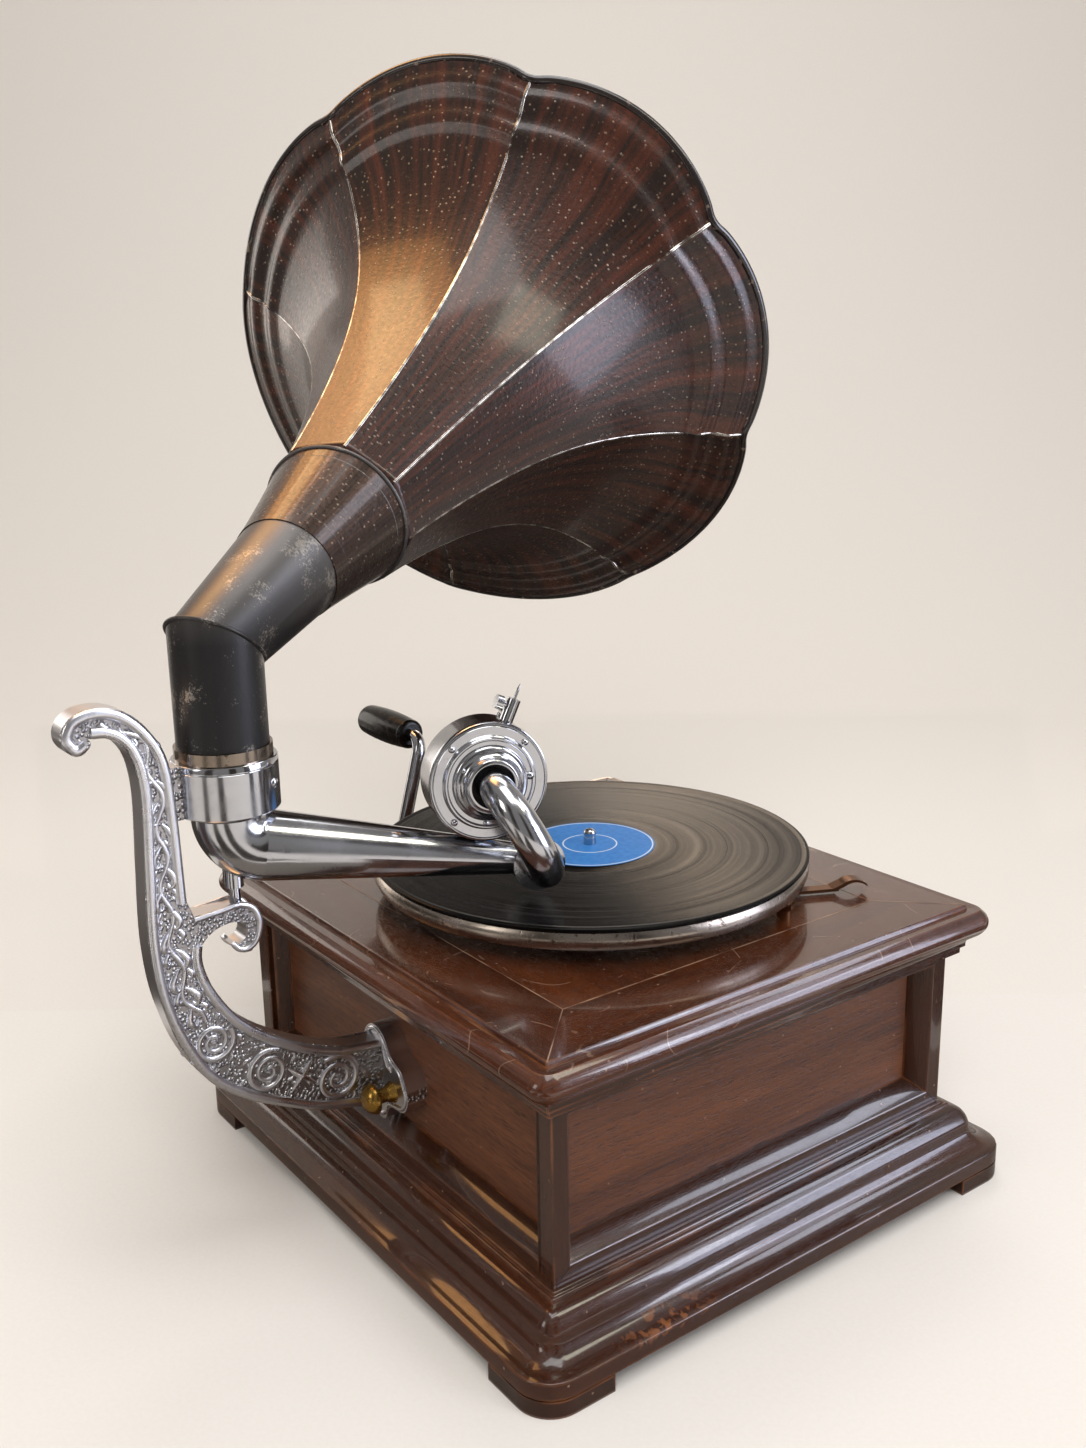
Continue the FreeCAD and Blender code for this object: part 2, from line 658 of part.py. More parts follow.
def make_column():
    wall_y = half_y - frame_thickness
    face_y = wall_y + foot_plate
    half = bracket_thickness / 2
    axis = V(column_x, column_y, 0)

    def side(y, z):
        """Point on the near face, y from the column axis and z from the ledge under the tone arm."""
        return V(column_x - half, column_y + y, ledge_top + z)

    def spline(points):
        curve = Part.BSplineCurve()
        curve.interpolate([side(y, z) for y, z in points])
        return curve.toShape()

    root_y = face_y - column_y
    root_low = -133.5
    root_high = -95.5
    back_edge = [(root_y, root_low), (-60, -130.5), (-36, -124.5), (-14, -114.5), (8, -101.5), (27, -82.5),
                 (42, -47.5), (47, -13.5), (46, 26.5), (44.5, 64.5), (48, 84.5), (56, 93.5), (66, 95.5)]
    hook_edge = [(66.5, 90.5), (72, 88.5), (78, 95.5), (74, 105.5), (62, 109), (49, 105.5), (37, 93.5),
                 (30, 77.5), (28, 51.5), (27, 8.5)]
    inner_edge = [(21, -15.5), (21.5, -25.5), (16, -41.5), (4, -59.5), (-11, -72.5), (-32, -85), (-50, -92),
                  (root_y, root_high)]
    edges = [
        spline(back_edge),
        Part.Arc(side(66, 95.5), side(64.8, 93.3), side(66.5, 90.5)).toShape(),
        spline(hook_edge),
        Part.makeLine(side(27, 8.5), side(24, 0)),
        Part.makeLine(side(24, 0), side(-3, 0)),
        Part.Arc(side(-3, 0), side(-10, -13.5), side(-4, -25.5)).toShape(),
        Part.Arc(side(-4, -25.5), side(3, -23.5), side(7, -18.5)).toShape(),
        Part.Arc(side(7, -18.5), side(-2.5, -15.5), side(0, -9)).toShape(),
        Part.Arc(side(0, -9), side(12, -9), side(21, -15.5)).toShape(),
        spline(inner_edge),
        Part.makeLine(side(root_y, root_high), side(root_y, root_low)),
    ]
    arm = Part.Face(Part.Wire(edges)).extrude(V(bracket_thickness, 0, 0))

    def plate(x, z):
        return V(column_x + x, wall_y, z)

    half_plate = [(0, 113.5), (7, 111.5), (12, 106), (16, 100.5), (25, 96.5), (29.5, 90), (31.3, 81),
                  (27, 73), (18, 71), (12, 69.5), (8, 62.5), (0, 60)]
    right = Part.BSplineCurve()
    right.interpolate([plate(x, z) for x, z in half_plate])
    left = Part.BSplineCurve()
    left.interpolate([plate(-x, z) for x, z in reversed(half_plate)])
    foot = Part.Face(Part.Wire([right.toShape(), left.toShape()])).extrude(V(0, foot_plate, 0))
    for s in (-1, 1):
        place = V(column_x + s * screw_x, 0, screw_z)
        foot = foot.cut(rod(screw_radius + running_gap, place + V(0, wall_y, 0), place + V(0, face_y, 0)))
    upright_y = column_y + 28.0
    ring_end = column_y + collar_radius - collar_wall / 2
    lug = box(column_x - half, column_x + half, ring_end, upright_y + 6, collar_bottom, collar_bottom + collar_height)
    ring_room = rod(collar_radius, axis + V(0, 0, collar_bottom), axis + V(0, 0, collar_bottom + collar_height))
    save("horn_bracket", arm.fuse(foot).fuse(lug.cut(ring_room)).removeSplitter())

    for name, s in (("thumb_screw_left", -1), ("thumb_screw_right", 1)):
        place = V(column_x + s * screw_x, 0, screw_z)
        screw = turned(
            place, V(0, 1, 0), V(1, 0, 0), (0, wall_y - panel_thickness), (screw_radius - running_gap,
            wall_y - panel_thickness), (screw_radius - running_gap, face_y), (1.5 * screw_radius, face_y),
            (screw_radius, face_y + 4), (screw_radius, face_y + screw_reach - 4),
            (screw_head_radius, face_y + screw_reach - 2),
            ((0.8 * screw_head_radius, face_y + screw_reach + 2), (0.4 * screw_head_radius, face_y + screw_reach + 4)),
            (0, face_y + screw_reach + 4))
        save(name, screw)

    save("horn_collar", pipe(collar_radius, collar_radius - collar_wall, axis + V(0, 0, collar_bottom),
                             axis + V(0, 0, collar_bottom + collar_height)))
    save("pivot_pin", rod(pin_radius, axis + V(0, 0, ledge_top), axis + V(0, 0, cup_bottom() + pin_cup_depth)))


# Tone arm, gooseneck and sound box

def arm_axes():
    swing = math.radians(arm_swing)
    along = V(-math.sin(swing), -math.cos(swing), 0)
    out = V(-math.cos(swing), math.sin(swing), 0)
    return along, out


def arm_line():
    """Centre line of the arm as (distance from the column axis, z, direction) at named places."""
    drop = math.radians(arm_drop)
    turn = math.pi / 2 - drop
    top = collar_bottom - arm_flare
    reach = arm_bend * (1 - math.cos(turn))
    z = top - arm_bend * math.sin(turn)
    end_z = z - (arm_length - reach) * math.tan(drop)
    return top, turn, reach, z, end_z


def cup_bottom():
    return arm_line()[3] - arm_root_radius - 1.5


def knuckle_centre():
    along, out = arm_axes()
    end_z = arm_line()[4]
    return V(column_x, column_y, end_z) + along * arm_length


def make_tone_arm():
    along, out = arm_axes()
    up = V(0, 0, 1)
    axis = V(column_x, column_y, 0)
    top, turn, reach, z, end_z = arm_line()
    drop = math.radians(arm_drop)
    heading_line = along * math.cos(drop) - up * math.sin(drop)
    length = (arm_length - reach) / math.cos(drop)

    def arm_solid(inset, over):
        ring_radius = collar_radius - collar_wall - turn_gap - inset
        spigot = rod(ring_radius, axis + up * collar_bottom, axis + up * (collar_bottom + 12 + over))
        flare = Part.makeCone(arm_root_radius - inset, arm_flare_radius - inset, arm_flare, axis + up * top, up)
        disc = Part.Face(Part.Wire(Part.makeCircle(arm_root_radius - inset, axis + up * top, up)))
        bend = disc.revolve(axis + along * arm_bend + up * top, out, math.degrees(turn))
        taper = Part.makeCone(arm_root_radius - inset, arm_tip_radius - inset, length - 4,
                              axis + along * reach + up * z, heading_line)
        return spigot.fuse(flare).fuse(bend).fuse(taper)

    outer = arm_solid(0, 0)
    inner = arm_solid(arm_wall, 1)
    centre = knuckle_centre()
    knuckle = rod(knuckle_radius, centre - out * knuckle_back, centre + out * knuckle_front)
    socket = rod(neck_radius + running_gap, centre - out * (knuckle_back - 3), centre + out * knuckle_front)
    cup_z = cup_bottom()
    cup = rod(pin_cup_radius, axis + up * cup_z, axis + up * (cup_z + 12))
    pit = rod(pin_radius + running_gap, axis + up * cup_z, axis + up * (cup_z + pin_cup_depth))
    whole = outer.fuse(knuckle).fuse(cup)
    save("tone_arm", whole.cut(inner).cut(socket).cut(pit).removeSplitter())


def neck_axes():
    """Directions in the plane of the gooseneck's turn, at rest thrown back over the arm."""
    along, out = arm_axes()
    angle = math.radians(neck_angle)
    reach = along * math.cos(angle) + V(0, 0, 1) * math.sin(angle)
    return reach, out


def box_centre():
    reach, out = neck_axes()
    return knuckle_centre() + reach * neck_reach


def make_gooseneck():
    reach, out = neck_axes()
    centre = knuckle_centre()
    bend = neck_reach / 2
    start = centre - out * (knuckle_back - 4)
    turn_at = knuckle_front + 3.0
    far = centre + reach * neck_reach
    end = far + out * (box_depth / 2 + 1.0)
    path = [Part.makeLine(start, centre + out * turn_at),
            Part.Arc(centre + out * turn_at, centre + reach * bend + out * (turn_at + bend),
                     far + out * turn_at).toShape(),
            Part.makeLine(far + out * turn_at, end)]
    wire = Part.Wire(path)
    outer = wire.makePipeShell([Part.Wire(Part.makeCircle(neck_radius, start, out))], True, True)
    inner = wire.makePipeShell([Part.Wire(Part.makeCircle(neck_radius - neck_wall, start, out))], True, True)
    save("gooseneck", outer.cut(inner))


def make_sound_box():
    along, out = arm_axes()
    up = V(0, 0, 1)
    centre = box_centre()
    half = box_depth / 2
    r = box_radius
    angle = math.radians(needle_angle)
    point = along * math.cos(angle) + up * math.sin(angle)
    side = along * -math.sin(angle) + up * math.cos(angle)
    ring_in = r - box_wall
    drum = turned(centre, out, up, (ring_in, -half + 4), (ring_in - 4, -half + 3), (ring_in - 4, -half),
                  (r - 1, -half), (r, -half + 1), (r, half - 3), (ring_in, half - 3))
    chuck_hole = rod(chuck_radius + 0.1, centre + point * (ring_in - 3), centre + point * (r + 2))
    save("sound_box_shell", drum.cut(chuck_hole))
    back = turned(centre, out, up, (hub_bore, half - 3), (r, half - 3), (r, half - 1), (r - 1, half),
                  (23.5, half), (23.0, half + 2), (19.5, half + 2), (18.5, half + 3.5), (hub_radius + 1.5, half + 3.5),
                  (hub_radius, half + 6), (hub_radius - 1, half + hub_height), (hub_bore, half + hub_height))
    save("sound_box_back", back)
    save("neck_isolator", pipe(hub_bore - running_gap, neck_radius + running_gap, centre + out * (half - 2),
                               centre + out * (half + 3)))
    disc_at = -half + 8.0
    save("diaphragm", rod(ring_in - 0.3, centre + out * disc_at, centre + out * (disc_at + 0.5)))
    gaskets = [pipe(ring_in - 0.3, ring_in - 4.5, centre + out * (disc_at + 0.5), centre + out * (half - 3)),
               pipe(ring_in - 0.3, ring_in - 4.0, centre + out * (-half + 4), centre + out * disc_at)]
    save("sound_box_gaskets", *gaskets)
    bar_at = -half - 2.2
    lift = r + 2.2
    bar = rod(1.6, centre + out * bar_at, centre + point * lift + out * bar_at)
    foot = rod(1.2, centre + out * bar_at, centre + out * disc_at)
    chuck = rod(chuck_radius, centre + point * (r - 1.5), centre + point * chuck_reach)
    yoke = rod(1.6, centre + point * lift + out * bar_at, centre + point * lift)
    hole = rod(needle_radius + running_gap, centre + point * (chuck_reach - 9), centre + point * chuck_reach)
    tap = rod(1.4 + running_gap, centre + point * (chuck_reach - 4),
              centre + point * (chuck_reach - 4) + side * 8)
    save("stylus_bar", bar.fuse(foot).fuse(chuck).fuse(yoke).removeSplitter().cut(hole).cut(tap))
    save("needle", turned(centre, point, out, (0, chuck_reach - 9), (needle_radius, chuck_reach - 9),
                          (needle_radius, needle_reach - 4), (0, needle_reach)))
    screw_at = centre + point * (chuck_reach - 4)
    shank = rod(1.4, screw_at + side * (needle_radius + 0.4), screw_at + side * 6)
    head = rod(3.6, screw_at + side * 5.5, screw_at + side * 9)
    save("needle_screw", shank.fuse(head).removeSplitter())
    screws = []
    for i in range(4):
        turn = math.radians(45 + 90 * i)
        place = centre + along * (28 * math.cos(turn)) + up * (28 * math.sin(turn))
        screws.append(rod(2.4, place + out * half, place + out * (half + 1.4)))
    save("sound_box_screws", *screws)


# Horn: mitred elbow that turns in the collar, neck and bell of lobed panels with a wired rim

def horn_axes():
    swing = math.radians(horn_swing)
    rise = math.radians(horn_rise)
    along = V(math.cos(rise) * math.sin(swing), -math.cos(rise) * math.cos(swing), math.sin(rise))
    level = V(math.cos(swing), math.sin(swing), 0)
    upward = level.cross(along)
    if upward.z < 0:
        upward = upward * -1
    return along, level, upward


def horn_root():
    return V(column_x, column_y, collar_bottom + collar_height + elbow_height)


def bell_radius(s):
    """Radius of the seams at distance s along the horn from the mitre, flaring towards the mouth."""
    share = (s - neck_ring_at) / (horn_length - neck_ring_at)
    rise = 0.30 * share + 0.285 * share ** 2 + 0.415 * share ** 6
    return neck_ring_radius + (mouth_radius - neck_ring_radius) * rise


def make_horn():
    along, level, upward = horn_axes()
    root = horn_root()
    up = V(0, 0, 1)
    axis = V(column_x, column_y, 0)
    collar_top = collar_bottom + collar_height

    bisector = (along + up).normalize()
    big = 200.0
    low_side = Part.makeBox(2 * big, 2 * big, big, V(-big, -big, -big))
    high_side = Part.makeBox(2 * big, 2 * big, big, V(-big, -big, 0))
    tilt = FreeCAD.Placement(root, FreeCAD.Rotation(up, bisector))
    low_side.Placement = tilt
    high_side.Placement = tilt

    def elbow(inset):
        ring = collar_radius - collar_wall - turn_gap - inset
        upright = Part.makeCylinder(elbow_radius - inset, elbow_height + 60, axis + up * collar_top, up)
        spigot = Part.makeCylinder(ring, 12, axis + up * (collar_top - 11), up)
        grow = (elbow_cone_radius - elbow_radius) / elbow_cone_length
        cone = Part.makeCone(elbow_radius - 40 * grow - inset, elbow_cone_radius - inset, elbow_cone_length + 40,
                             root - along * 40, along)
        return spigot, upright.common(low_side), cone.common(high_side)

    spigot, upright, cone = elbow(0)
    spigot_in, upright_in, cone_in = elbow(elbow_wall)
    body = upright.fuse(cone).fuse(spigot)
    hollow = upright_in.fuse(cone_in).fuse(spigot_in)
    save("horn_elbow", body.cut(hollow).removeSplitter())
    save("elbow_ferrule", pipe(elbow_radius + 1.4, elbow_radius + running_gap, axis + up * collar_top,
                               axis + up * (collar_top + ferrule_height)))

    neck_start = elbow_cone_length - neck_insert
    grow = (elbow_cone_radius - elbow_radius) / elbow_cone_length
    start_radius = elbow_radius + grow * neck_start - elbow_wall - 0.1
    lip_radius = elbow_cone_radius - elbow_wall - 0.1
    across = level
    neck = turned(
        root, along, across, (start_radius, neck_start), (lip_radius, elbow_cone_length),
        (neck_ring_radius, neck_ring_at), (neck_ring_radius - sheet, neck_ring_at),
        (lip_radius - sheet, elbow_cone_length), (start_radius - sheet, neck_start))
    save("horn_neck", neck)

    def on_horn(angle, s, radius):
        return root + along * s + level * (radius * math.cos(angle)) + upward * (radius * math.sin(angle))

    first_seam = math.radians(17.1)
    step = 2 * math.pi / horn_panels
    stations = 9
    panels = []
    rims = []
    for panel in range(horn_panels):
        middle = first_seam + (panel + 0.5) * step
        wires = []
        for i in range(stations + 1):
            share = 1 - (1 - i / stations) ** 1.6
            s = neck_ring_at + (horn_length - neck_ring_at) * share
            r = bell_radius(s)
            half = step / 2 - seam_gap / (2 * r)
            left = middle - half
            right = middle + half
            fade = share ** 4
            crest = r + lobe_bulge * fade
            lean = lobe_reach * fade / (crest - r * math.cos(half))
            outer = [on_horn(left, s, r), on_horn(middle, s + lobe_reach * fade, crest), on_horn(right, s, r)]
            low = s - lean * sheet * math.cos(half)
            inner = [on_horn(left, low, r - sheet),
                     on_horn(middle, s + (lobe_reach * fade) - lean * sheet, crest - sheet),
                     on_horn(right, low, r - sheet)]
            wires.append(Part.Wire([Part.Arc(*outer).toShape(), Part.makeLine(outer[2], inner[2]),
                                    Part.Arc(*reversed(inner)).toShape(), Part.makeLine(inner[0], outer[0])]))
        panels.append(Part.makeLoft(wires, True, False))
        wire_at = rim_radius + 0.05
        rim_half = step / 2 - rim_end_gap / mouth_radius
        rim = [on_horn(middle - rim_half, horn_length + wire_at, mouth_radius),
               on_horn(middle, horn_length + lobe_reach + wire_at, mouth_radius + lobe_bulge),
               on_horn(middle + rim_half, horn_length + wire_at, mouth_radius)]
        arc = Part.Arc(*rim).toShape()
        circle = Part.Wire(Part.makeCircle(rim_radius, rim[0], arc.tangentAt(arc.FirstParameter)))
        rims.append(Part.Wire([arc]).makePipeShell([circle], True, True))
    save("horn_panels", *panels)
    save("horn_rim", *rims)


# Brake lever that pivots on the lid and stops the turntable rim

def make_brake():
    pivot = V(brake_x, brake_y, lid_top)
    up = V(0, 0, 1)
    low = brake_lift
    high = brake_lift + brake_thickness
    half = brake_width / 2
    flat = brake_length - 17
    strip = box(-half, flat, -half, half, low, high)
    tab = outline(lambda x, z: V(x, -half - 0.5, z), (flat - 4, low), (flat + 3, low + 2.5),
                  ((flat + 10, low + 4.6), (flat + 17, low + 1.5)), (flat + 16.6, low + 3.1),
                  ((flat + 10, low + 6.2), (flat + 2, low + 4.3)), (flat - 4, high)).extrude(V(0, brake_width + 1, 0))
    lever = strip.fuse(tab)
    lever.rotate(V(0, 0, 0), up, brake_angle)
    arm = box(0, pad_reach, -half, half, low, high)
    arm.rotate(V(0, 0, 0), up, pad_angle)
    turn = math.radians(pad_angle)
    pad_at = V(pad_reach * math.cos(turn), pad_reach * math.sin(turn), 0)
    pad = rod(pad_radius, pad_at + up * low, pad_at + up * pad_top)
    hole = rod(brake_post_radius + running_gap, V(0, 0, 0), up * 20)
    lever = lever.fuse(arm).fuse(pad).removeSplitter().cut(hole)
    lever.translate(pivot)
    save("brake_lever", lever)
    head = brake_post_radius + 2.0
    save("brake_post", rod(brake_post_radius, pivot, pivot + up * (high + 0.2)).fuse(
        rod(head, pivot + up * (high + 0.2), pivot + up * (high + 2.0))).fuse(
        rod(head, pivot, pivot + up * (low - 0.2))).removeSplitter())


make_case()
make_turntable()
make_motor()
make_crank()
make_column()
make_tone_arm()
make_gooseneck()
make_sound_box()
make_horn()
make_brake()
for name, count, valid, volume in saved:
    print("%-22s solids %2d valid %s volume %.0f" % (name, count, valid, volume))
print(len(saved), "nodes")
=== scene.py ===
import math

import bmesh
import bpy
from mathutils import Matrix, Vector


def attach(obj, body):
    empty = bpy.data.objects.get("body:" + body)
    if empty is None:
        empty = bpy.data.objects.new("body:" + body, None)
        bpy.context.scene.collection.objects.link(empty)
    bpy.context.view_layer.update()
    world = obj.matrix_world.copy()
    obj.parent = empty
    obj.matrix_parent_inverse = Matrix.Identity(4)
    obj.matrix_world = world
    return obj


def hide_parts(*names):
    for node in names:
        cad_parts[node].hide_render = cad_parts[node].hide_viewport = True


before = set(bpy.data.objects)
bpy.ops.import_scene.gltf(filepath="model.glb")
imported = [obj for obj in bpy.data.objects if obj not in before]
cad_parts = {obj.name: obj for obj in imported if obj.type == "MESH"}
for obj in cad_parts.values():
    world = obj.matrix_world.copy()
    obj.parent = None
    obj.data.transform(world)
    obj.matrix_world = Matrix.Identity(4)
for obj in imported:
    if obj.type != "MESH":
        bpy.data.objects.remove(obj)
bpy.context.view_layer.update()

# Table gramophone: a wooden case with a spring motor and a turntable, and behind it a cast bracket
# that carries a painted horn above and a plated tone arm with its sound box below. Metres.
mm = 0.001

# Studio: a pale paper sweep that runs from the floor up the wall, under large soft lamps. Windows,
# and black and grey cards that lie round the case or stand further off, show only in polished
# surfaces, as bright and dark bands.


def colour(code):
    """Linear RGBA from an sRGB hex code."""
    parts = [int(code[i:i + 2], 16) / 255 for i in (1, 3, 5)]
    return tuple(c / 12.92 if c <= 0.04045 else ((c + 0.055) / 1.055) ** 2.4 for c in parts) + (1.0,)


def feed(node, inputs):
    """Set a node's inputs, by name or in their order: a value, a hex colour or a socket to link from."""
    for name, value in inputs.items() if isinstance(inputs, dict) else enumerate(inputs):
        if isinstance(value, bpy.types.NodeSocket):
            node.id_data.links.new(value, node.inputs[name])
        else:
            node.inputs[name].default_value = colour(value) if isinstance(value, str) else value


def add(tree, kind, inputs, output=None, **settings):
    """Add one shader node and give its named output, or else the first that its settings leave in use."""
    node = tree.nodes.new("ShaderNode" + kind)
    for name, value in settings.items():
        setattr(node, name, value)
    feed(node, inputs)
    return node.outputs[output] if output else next(one for one in node.outputs if one.enabled)


def new_material(name):
    """Material with its node tree, its shader and the place on the object, in metres."""
    material = bpy.data.materials.new(name)
    material.use_nodes = True
    tree = material.node_tree
    return material, tree, tree.nodes["Principled BSDF"], add(tree, "TexCoord", {}, "Object")


def new_object(name, bm, material, sharp=40):
    """Object from a bmesh, smooth except at edges sharper than the angle in degrees, or as set if 0."""
    mesh = bpy.data.meshes.new(name)
    bm.to_mesh(mesh)
    bm.free()
    if sharp:
        mesh.shade_smooth()
        mesh.set_sharp_from_angle(angle=math.radians(sharp))
    made = bpy.data.objects.new(name, mesh)
    bpy.context.scene.collection.objects.link(made)
    made.data.materials.append(material)
    return made


sweep_half = 3.4
wall_distance = 2.6
wall_height = 5.0
view_yaw = math.radians(126.3)
view_pitch = math.radians(14.7)
view_roll = math.radians(-1.0)
floor_near = -1.4
sweep_bend = 1.6
painted_shade_line = 0.183
painted_shade_blend = 2 * mm

# Uncoated paper: matt, with a tooth of 2.5 mm, coarser than the real one so that it shows. Beyond a
# line behind the case the paper is a shade darker: painted shade. Pattern scales are repeats in a metre.
paper, tree, shader, place = new_material("studio_paper")
tooth = add(tree, "TexNoise", {"Vector": place, "Scale": 400.0, "Detail": 3.0})
away = add(tree, "VectorMath", (place, (math.sin(view_yaw), math.cos(view_yaw), 0)),
           operation="DOT_PRODUCT")
# A map range takes a pattern, the two values to read it between, and the two to give if not 0 and 1.
back = add(tree, "MapRange", (away, painted_shade_line - painted_shade_blend, painted_shade_line + painted_shade_blend))
near_tone = add(tree, "Mix", {0: tooth, 6: "#e1dbd3", 7: "#e8e2db"}, data_type="RGBA")
far_tone = add(tree, "Mix", {0: tooth, 6: "#e0d9d0", 7: "#e7e0d8"}, data_type="RGBA")
# Painted shade: beyond the line the paper takes the darker far tone.
shade = add(tree, "Mix", {0: back, 6: near_tone, 7: far_tone}, data_type="RGBA")
feed(shader, {"Base Color": shade, "Roughness": 0.9})
bm = bmesh.new()
outline = ((0, floor_near, 0), (0, wall_distance, 0), (0, wall_distance, wall_height))
corners = [bm.verts.new(at) for at in outline]
for pair in (corners[:2], corners[1:]):
    bm.edges.new(pair)
bmesh.ops.bevel(bm, geom=[corners[1]], offset=sweep_bend, offset_type="OFFSET", segments=24, profile=0.5,
                affect="VERTICES", material=-1)
drawn = bmesh.ops.extrude_edge_only(bm, edges=bm.edges[:])["geom"]
far_side = [item for item in drawn if isinstance(item, bmesh.types.BMVert)]
bmesh.ops.translate(bm, vec=(2 * sweep_half, 0, 0), verts=far_side)
bmesh.ops.translate(bm, vec=(-sweep_half, 0, 0), verts=bm.verts[:])
bmesh.ops.rotate(bm, verts=bm.verts[:], matrix=Matrix.Rotation(-view_yaw, 3, "Z"))
new_object("paper_sweep", bm, paper)

eye = Vector((-604.3, 472.0, 460.7)) * mm
ahead = Vector((math.cos(view_pitch) * math.sin(view_yaw), math.cos(view_pitch) * math.cos(view_yaw),
                -math.sin(view_pitch)))
level = ahead.cross(Vector((0, 0, 1))).normalized()
above = level.cross(ahead)
right = level * math.cos(view_roll) + above * math.sin(view_roll)
upright = above * math.cos(view_roll) - level * math.sin(view_roll)
camera = bpy.data.objects.new("camera", bpy.data.cameras.new("camera"))
camera.data.sensor_width = 36.0
camera.data.lens = 34.94
camera.matrix_world = Matrix.Translation(eye) @ Matrix((right, upright, -ahead)).transposed().to_4x4()
bpy.context.scene.collection.objects.link(camera)
bpy.context.scene.camera = camera
bpy.context.scene.view_settings.view_transform = "Standard"


def lamp(name, place, target, size, watts, tint, lights=True, shows=True):
    """Square soft box that faces the target; it lights matt surfaces, shows in polished ones, or both."""
    light = bpy.data.lights.new(name, "AREA")
    light.size = size
    light.energy = watts
    light.color = colour(tint)[:3]
    made = bpy.data.objects.new(name, light)
    bpy.context.scene.collection.objects.link(made)
    made.location = place
    made.rotation_euler = (Vector(target) - Vector(place)).to_track_quat("-Z", "Y").to_euler()
    made.visible_camera = False
    made.visible_diffuse = lights
    made.visible_glossy = shows


middle = (0.05, 0.05, 0.25)
lamp("overhead", (-0.4, 0.1, 2.2), middle, 1.2, 18.0, "#ffffff")
lamp("side_left", (0.1, 2.2, 1.2), middle, 0.8, 8.0, "#fffaf4")
lamp("side_right", (-2.1, -0.9, 1.0), middle, 0.9, 15.0, "#f0f4ff")
lamp("behind", (1.1, -1.0, 2.8), middle, 1.3, 16.0, "#ffffff")
lamp("front_fill", (-1.8, 1.4, 2.7), (1.9, -1.4, 1.5), 1.6, 68.0, "#ffffff", shows=False)
bell = (0.14, 0.03, 0.49)
lamp("warm_window", (1.16, 0.16, 1.97), bell, 1.2, 17.0, "#ffb566", lights=False)
lamp("warm_core", (0.96, 0.12, 1.75), bell, 0.4, 2.6, "#ffd9a0", lights=False)
lamp("window_right", (-1.95, -1.4, 0.55), (-0.16, 0.0, 0.03), 1.4, 38.0, "#dfe6ff", lights=False)
lamp("window_tall", (-1.53, -1.46, 1.37), (-0.17, 0.0, 0.02), 0.9, 8.0, "#e2e6f6", lights=False)
lamp("window_high", (-0.65, -1.47, 1.74), (0.03, 0.14, 0.38), 0.6, 6.5, "#e8eeff", lights=False)
lamp("window_back", (1.40, -1.33, 1.03), (-0.1, 0.03, 0.17), 0.35, 2.2, "#ffe2c4", lights=False)
lamp("window_top", (-0.94, -0.6, 1.83), (0.04, 0.07, 0.35), 0.5, 5.0, "#fdf8e2", lights=False)
lamp("window_left", (2.16, 0.76, 0.6), (0.3, 0.02, 0.5), 1.1, 8.5, "#fff6ec", lights=False)


def mottled(name, dark, light, scale, detail, rough, span=(0, 1), most=1.0, metal=0.0, coat=0.0):
    """Material whose tone wanders between two colours, with clear edges if the span is narrow."""
    material, tree, shader, place = new_material(name)
    tone = add(tree, "TexNoise", {"Vector": place, "Scale": scale, "Detail": detail})
    tone = add(tree, "MapRange", (tone, *span, 0, most))
    shade = add(tree, "Mix", {0: tone, 6: dark, 7: light}, data_type="RGBA")
    feed(shader, {"Base Color": shade, "Roughness": rough, "Metallic": metal, "Coat Weight": coat})
    return material


# Card: matt board with a tooth of about 3 mm.
cards = {"black_card": mottled("black_card", "#241f1b", "#332d28", 300.0, 2.0, 0.9),
         "grey_card": mottled("grey_card", "#7c746b", "#8b837a", 300.0, 2.0, 0.9)}


def stand_card(name, width, length, distance, turn, tilt):
    """Card at a distance from the case and a bearing from the camera's side, flat or tilted upright."""
    bm = bmesh.new()
    made = bmesh.ops.create_grid(bm, x_segments=1, y_segments=1, size=0.5)["verts"]
    bmesh.ops.scale(bm, vec=(width, length, 1), verts=made)
    bmesh.ops.rotate(bm, verts=made, matrix=Matrix.Rotation(math.radians(tilt), 3, "X"))
    height = 1 * mm + 0.5 * length * math.sin(math.radians(tilt))
    bmesh.ops.translate(bm, vec=(0, -distance, height), verts=made)
    bmesh.ops.rotate(bm, verts=made, matrix=Matrix.Rotation(math.radians(turn) - view_yaw, 3, "Z"))
    card = new_object(name, bm, cards[name])
    card.visible_camera = card.visible_diffuse = card.visible_shadow = False


stand_card("grey_card", 0.7, 0.7, 0.0, 0, 0)
for turn, width in ((-160, 0.6), (-112, 0.5), (-74, 0.4), (-36, 0.16), (-8, 0.2), (56, 0.16),
                    (84, 0.2), (118, 0.5), (164, 0.6)):
    stand_card("black_card", width, 0.9, 0.84, turn, 0)
for turn in (-64, -26, 20, 52):
    stand_card("black_card", 0.36, 1.5, 1.4, turn, 90)
stand_card("black_card", 1.0, 0.5, 1.4, -98, 90)

world = bpy.data.worlds.new("room")
bpy.context.scene.world = world
world.use_nodes = True
feed(world.node_tree.nodes["Background"], {"Color": "#cfcbc8", "Strength": 0.46})

# Mahogany: open-pored red-brown wood under old varnish, lighter where edges have rubbed through.
# Boards are laid so that the grain runs along each length, and mitred lengths meet at 45 degrees.


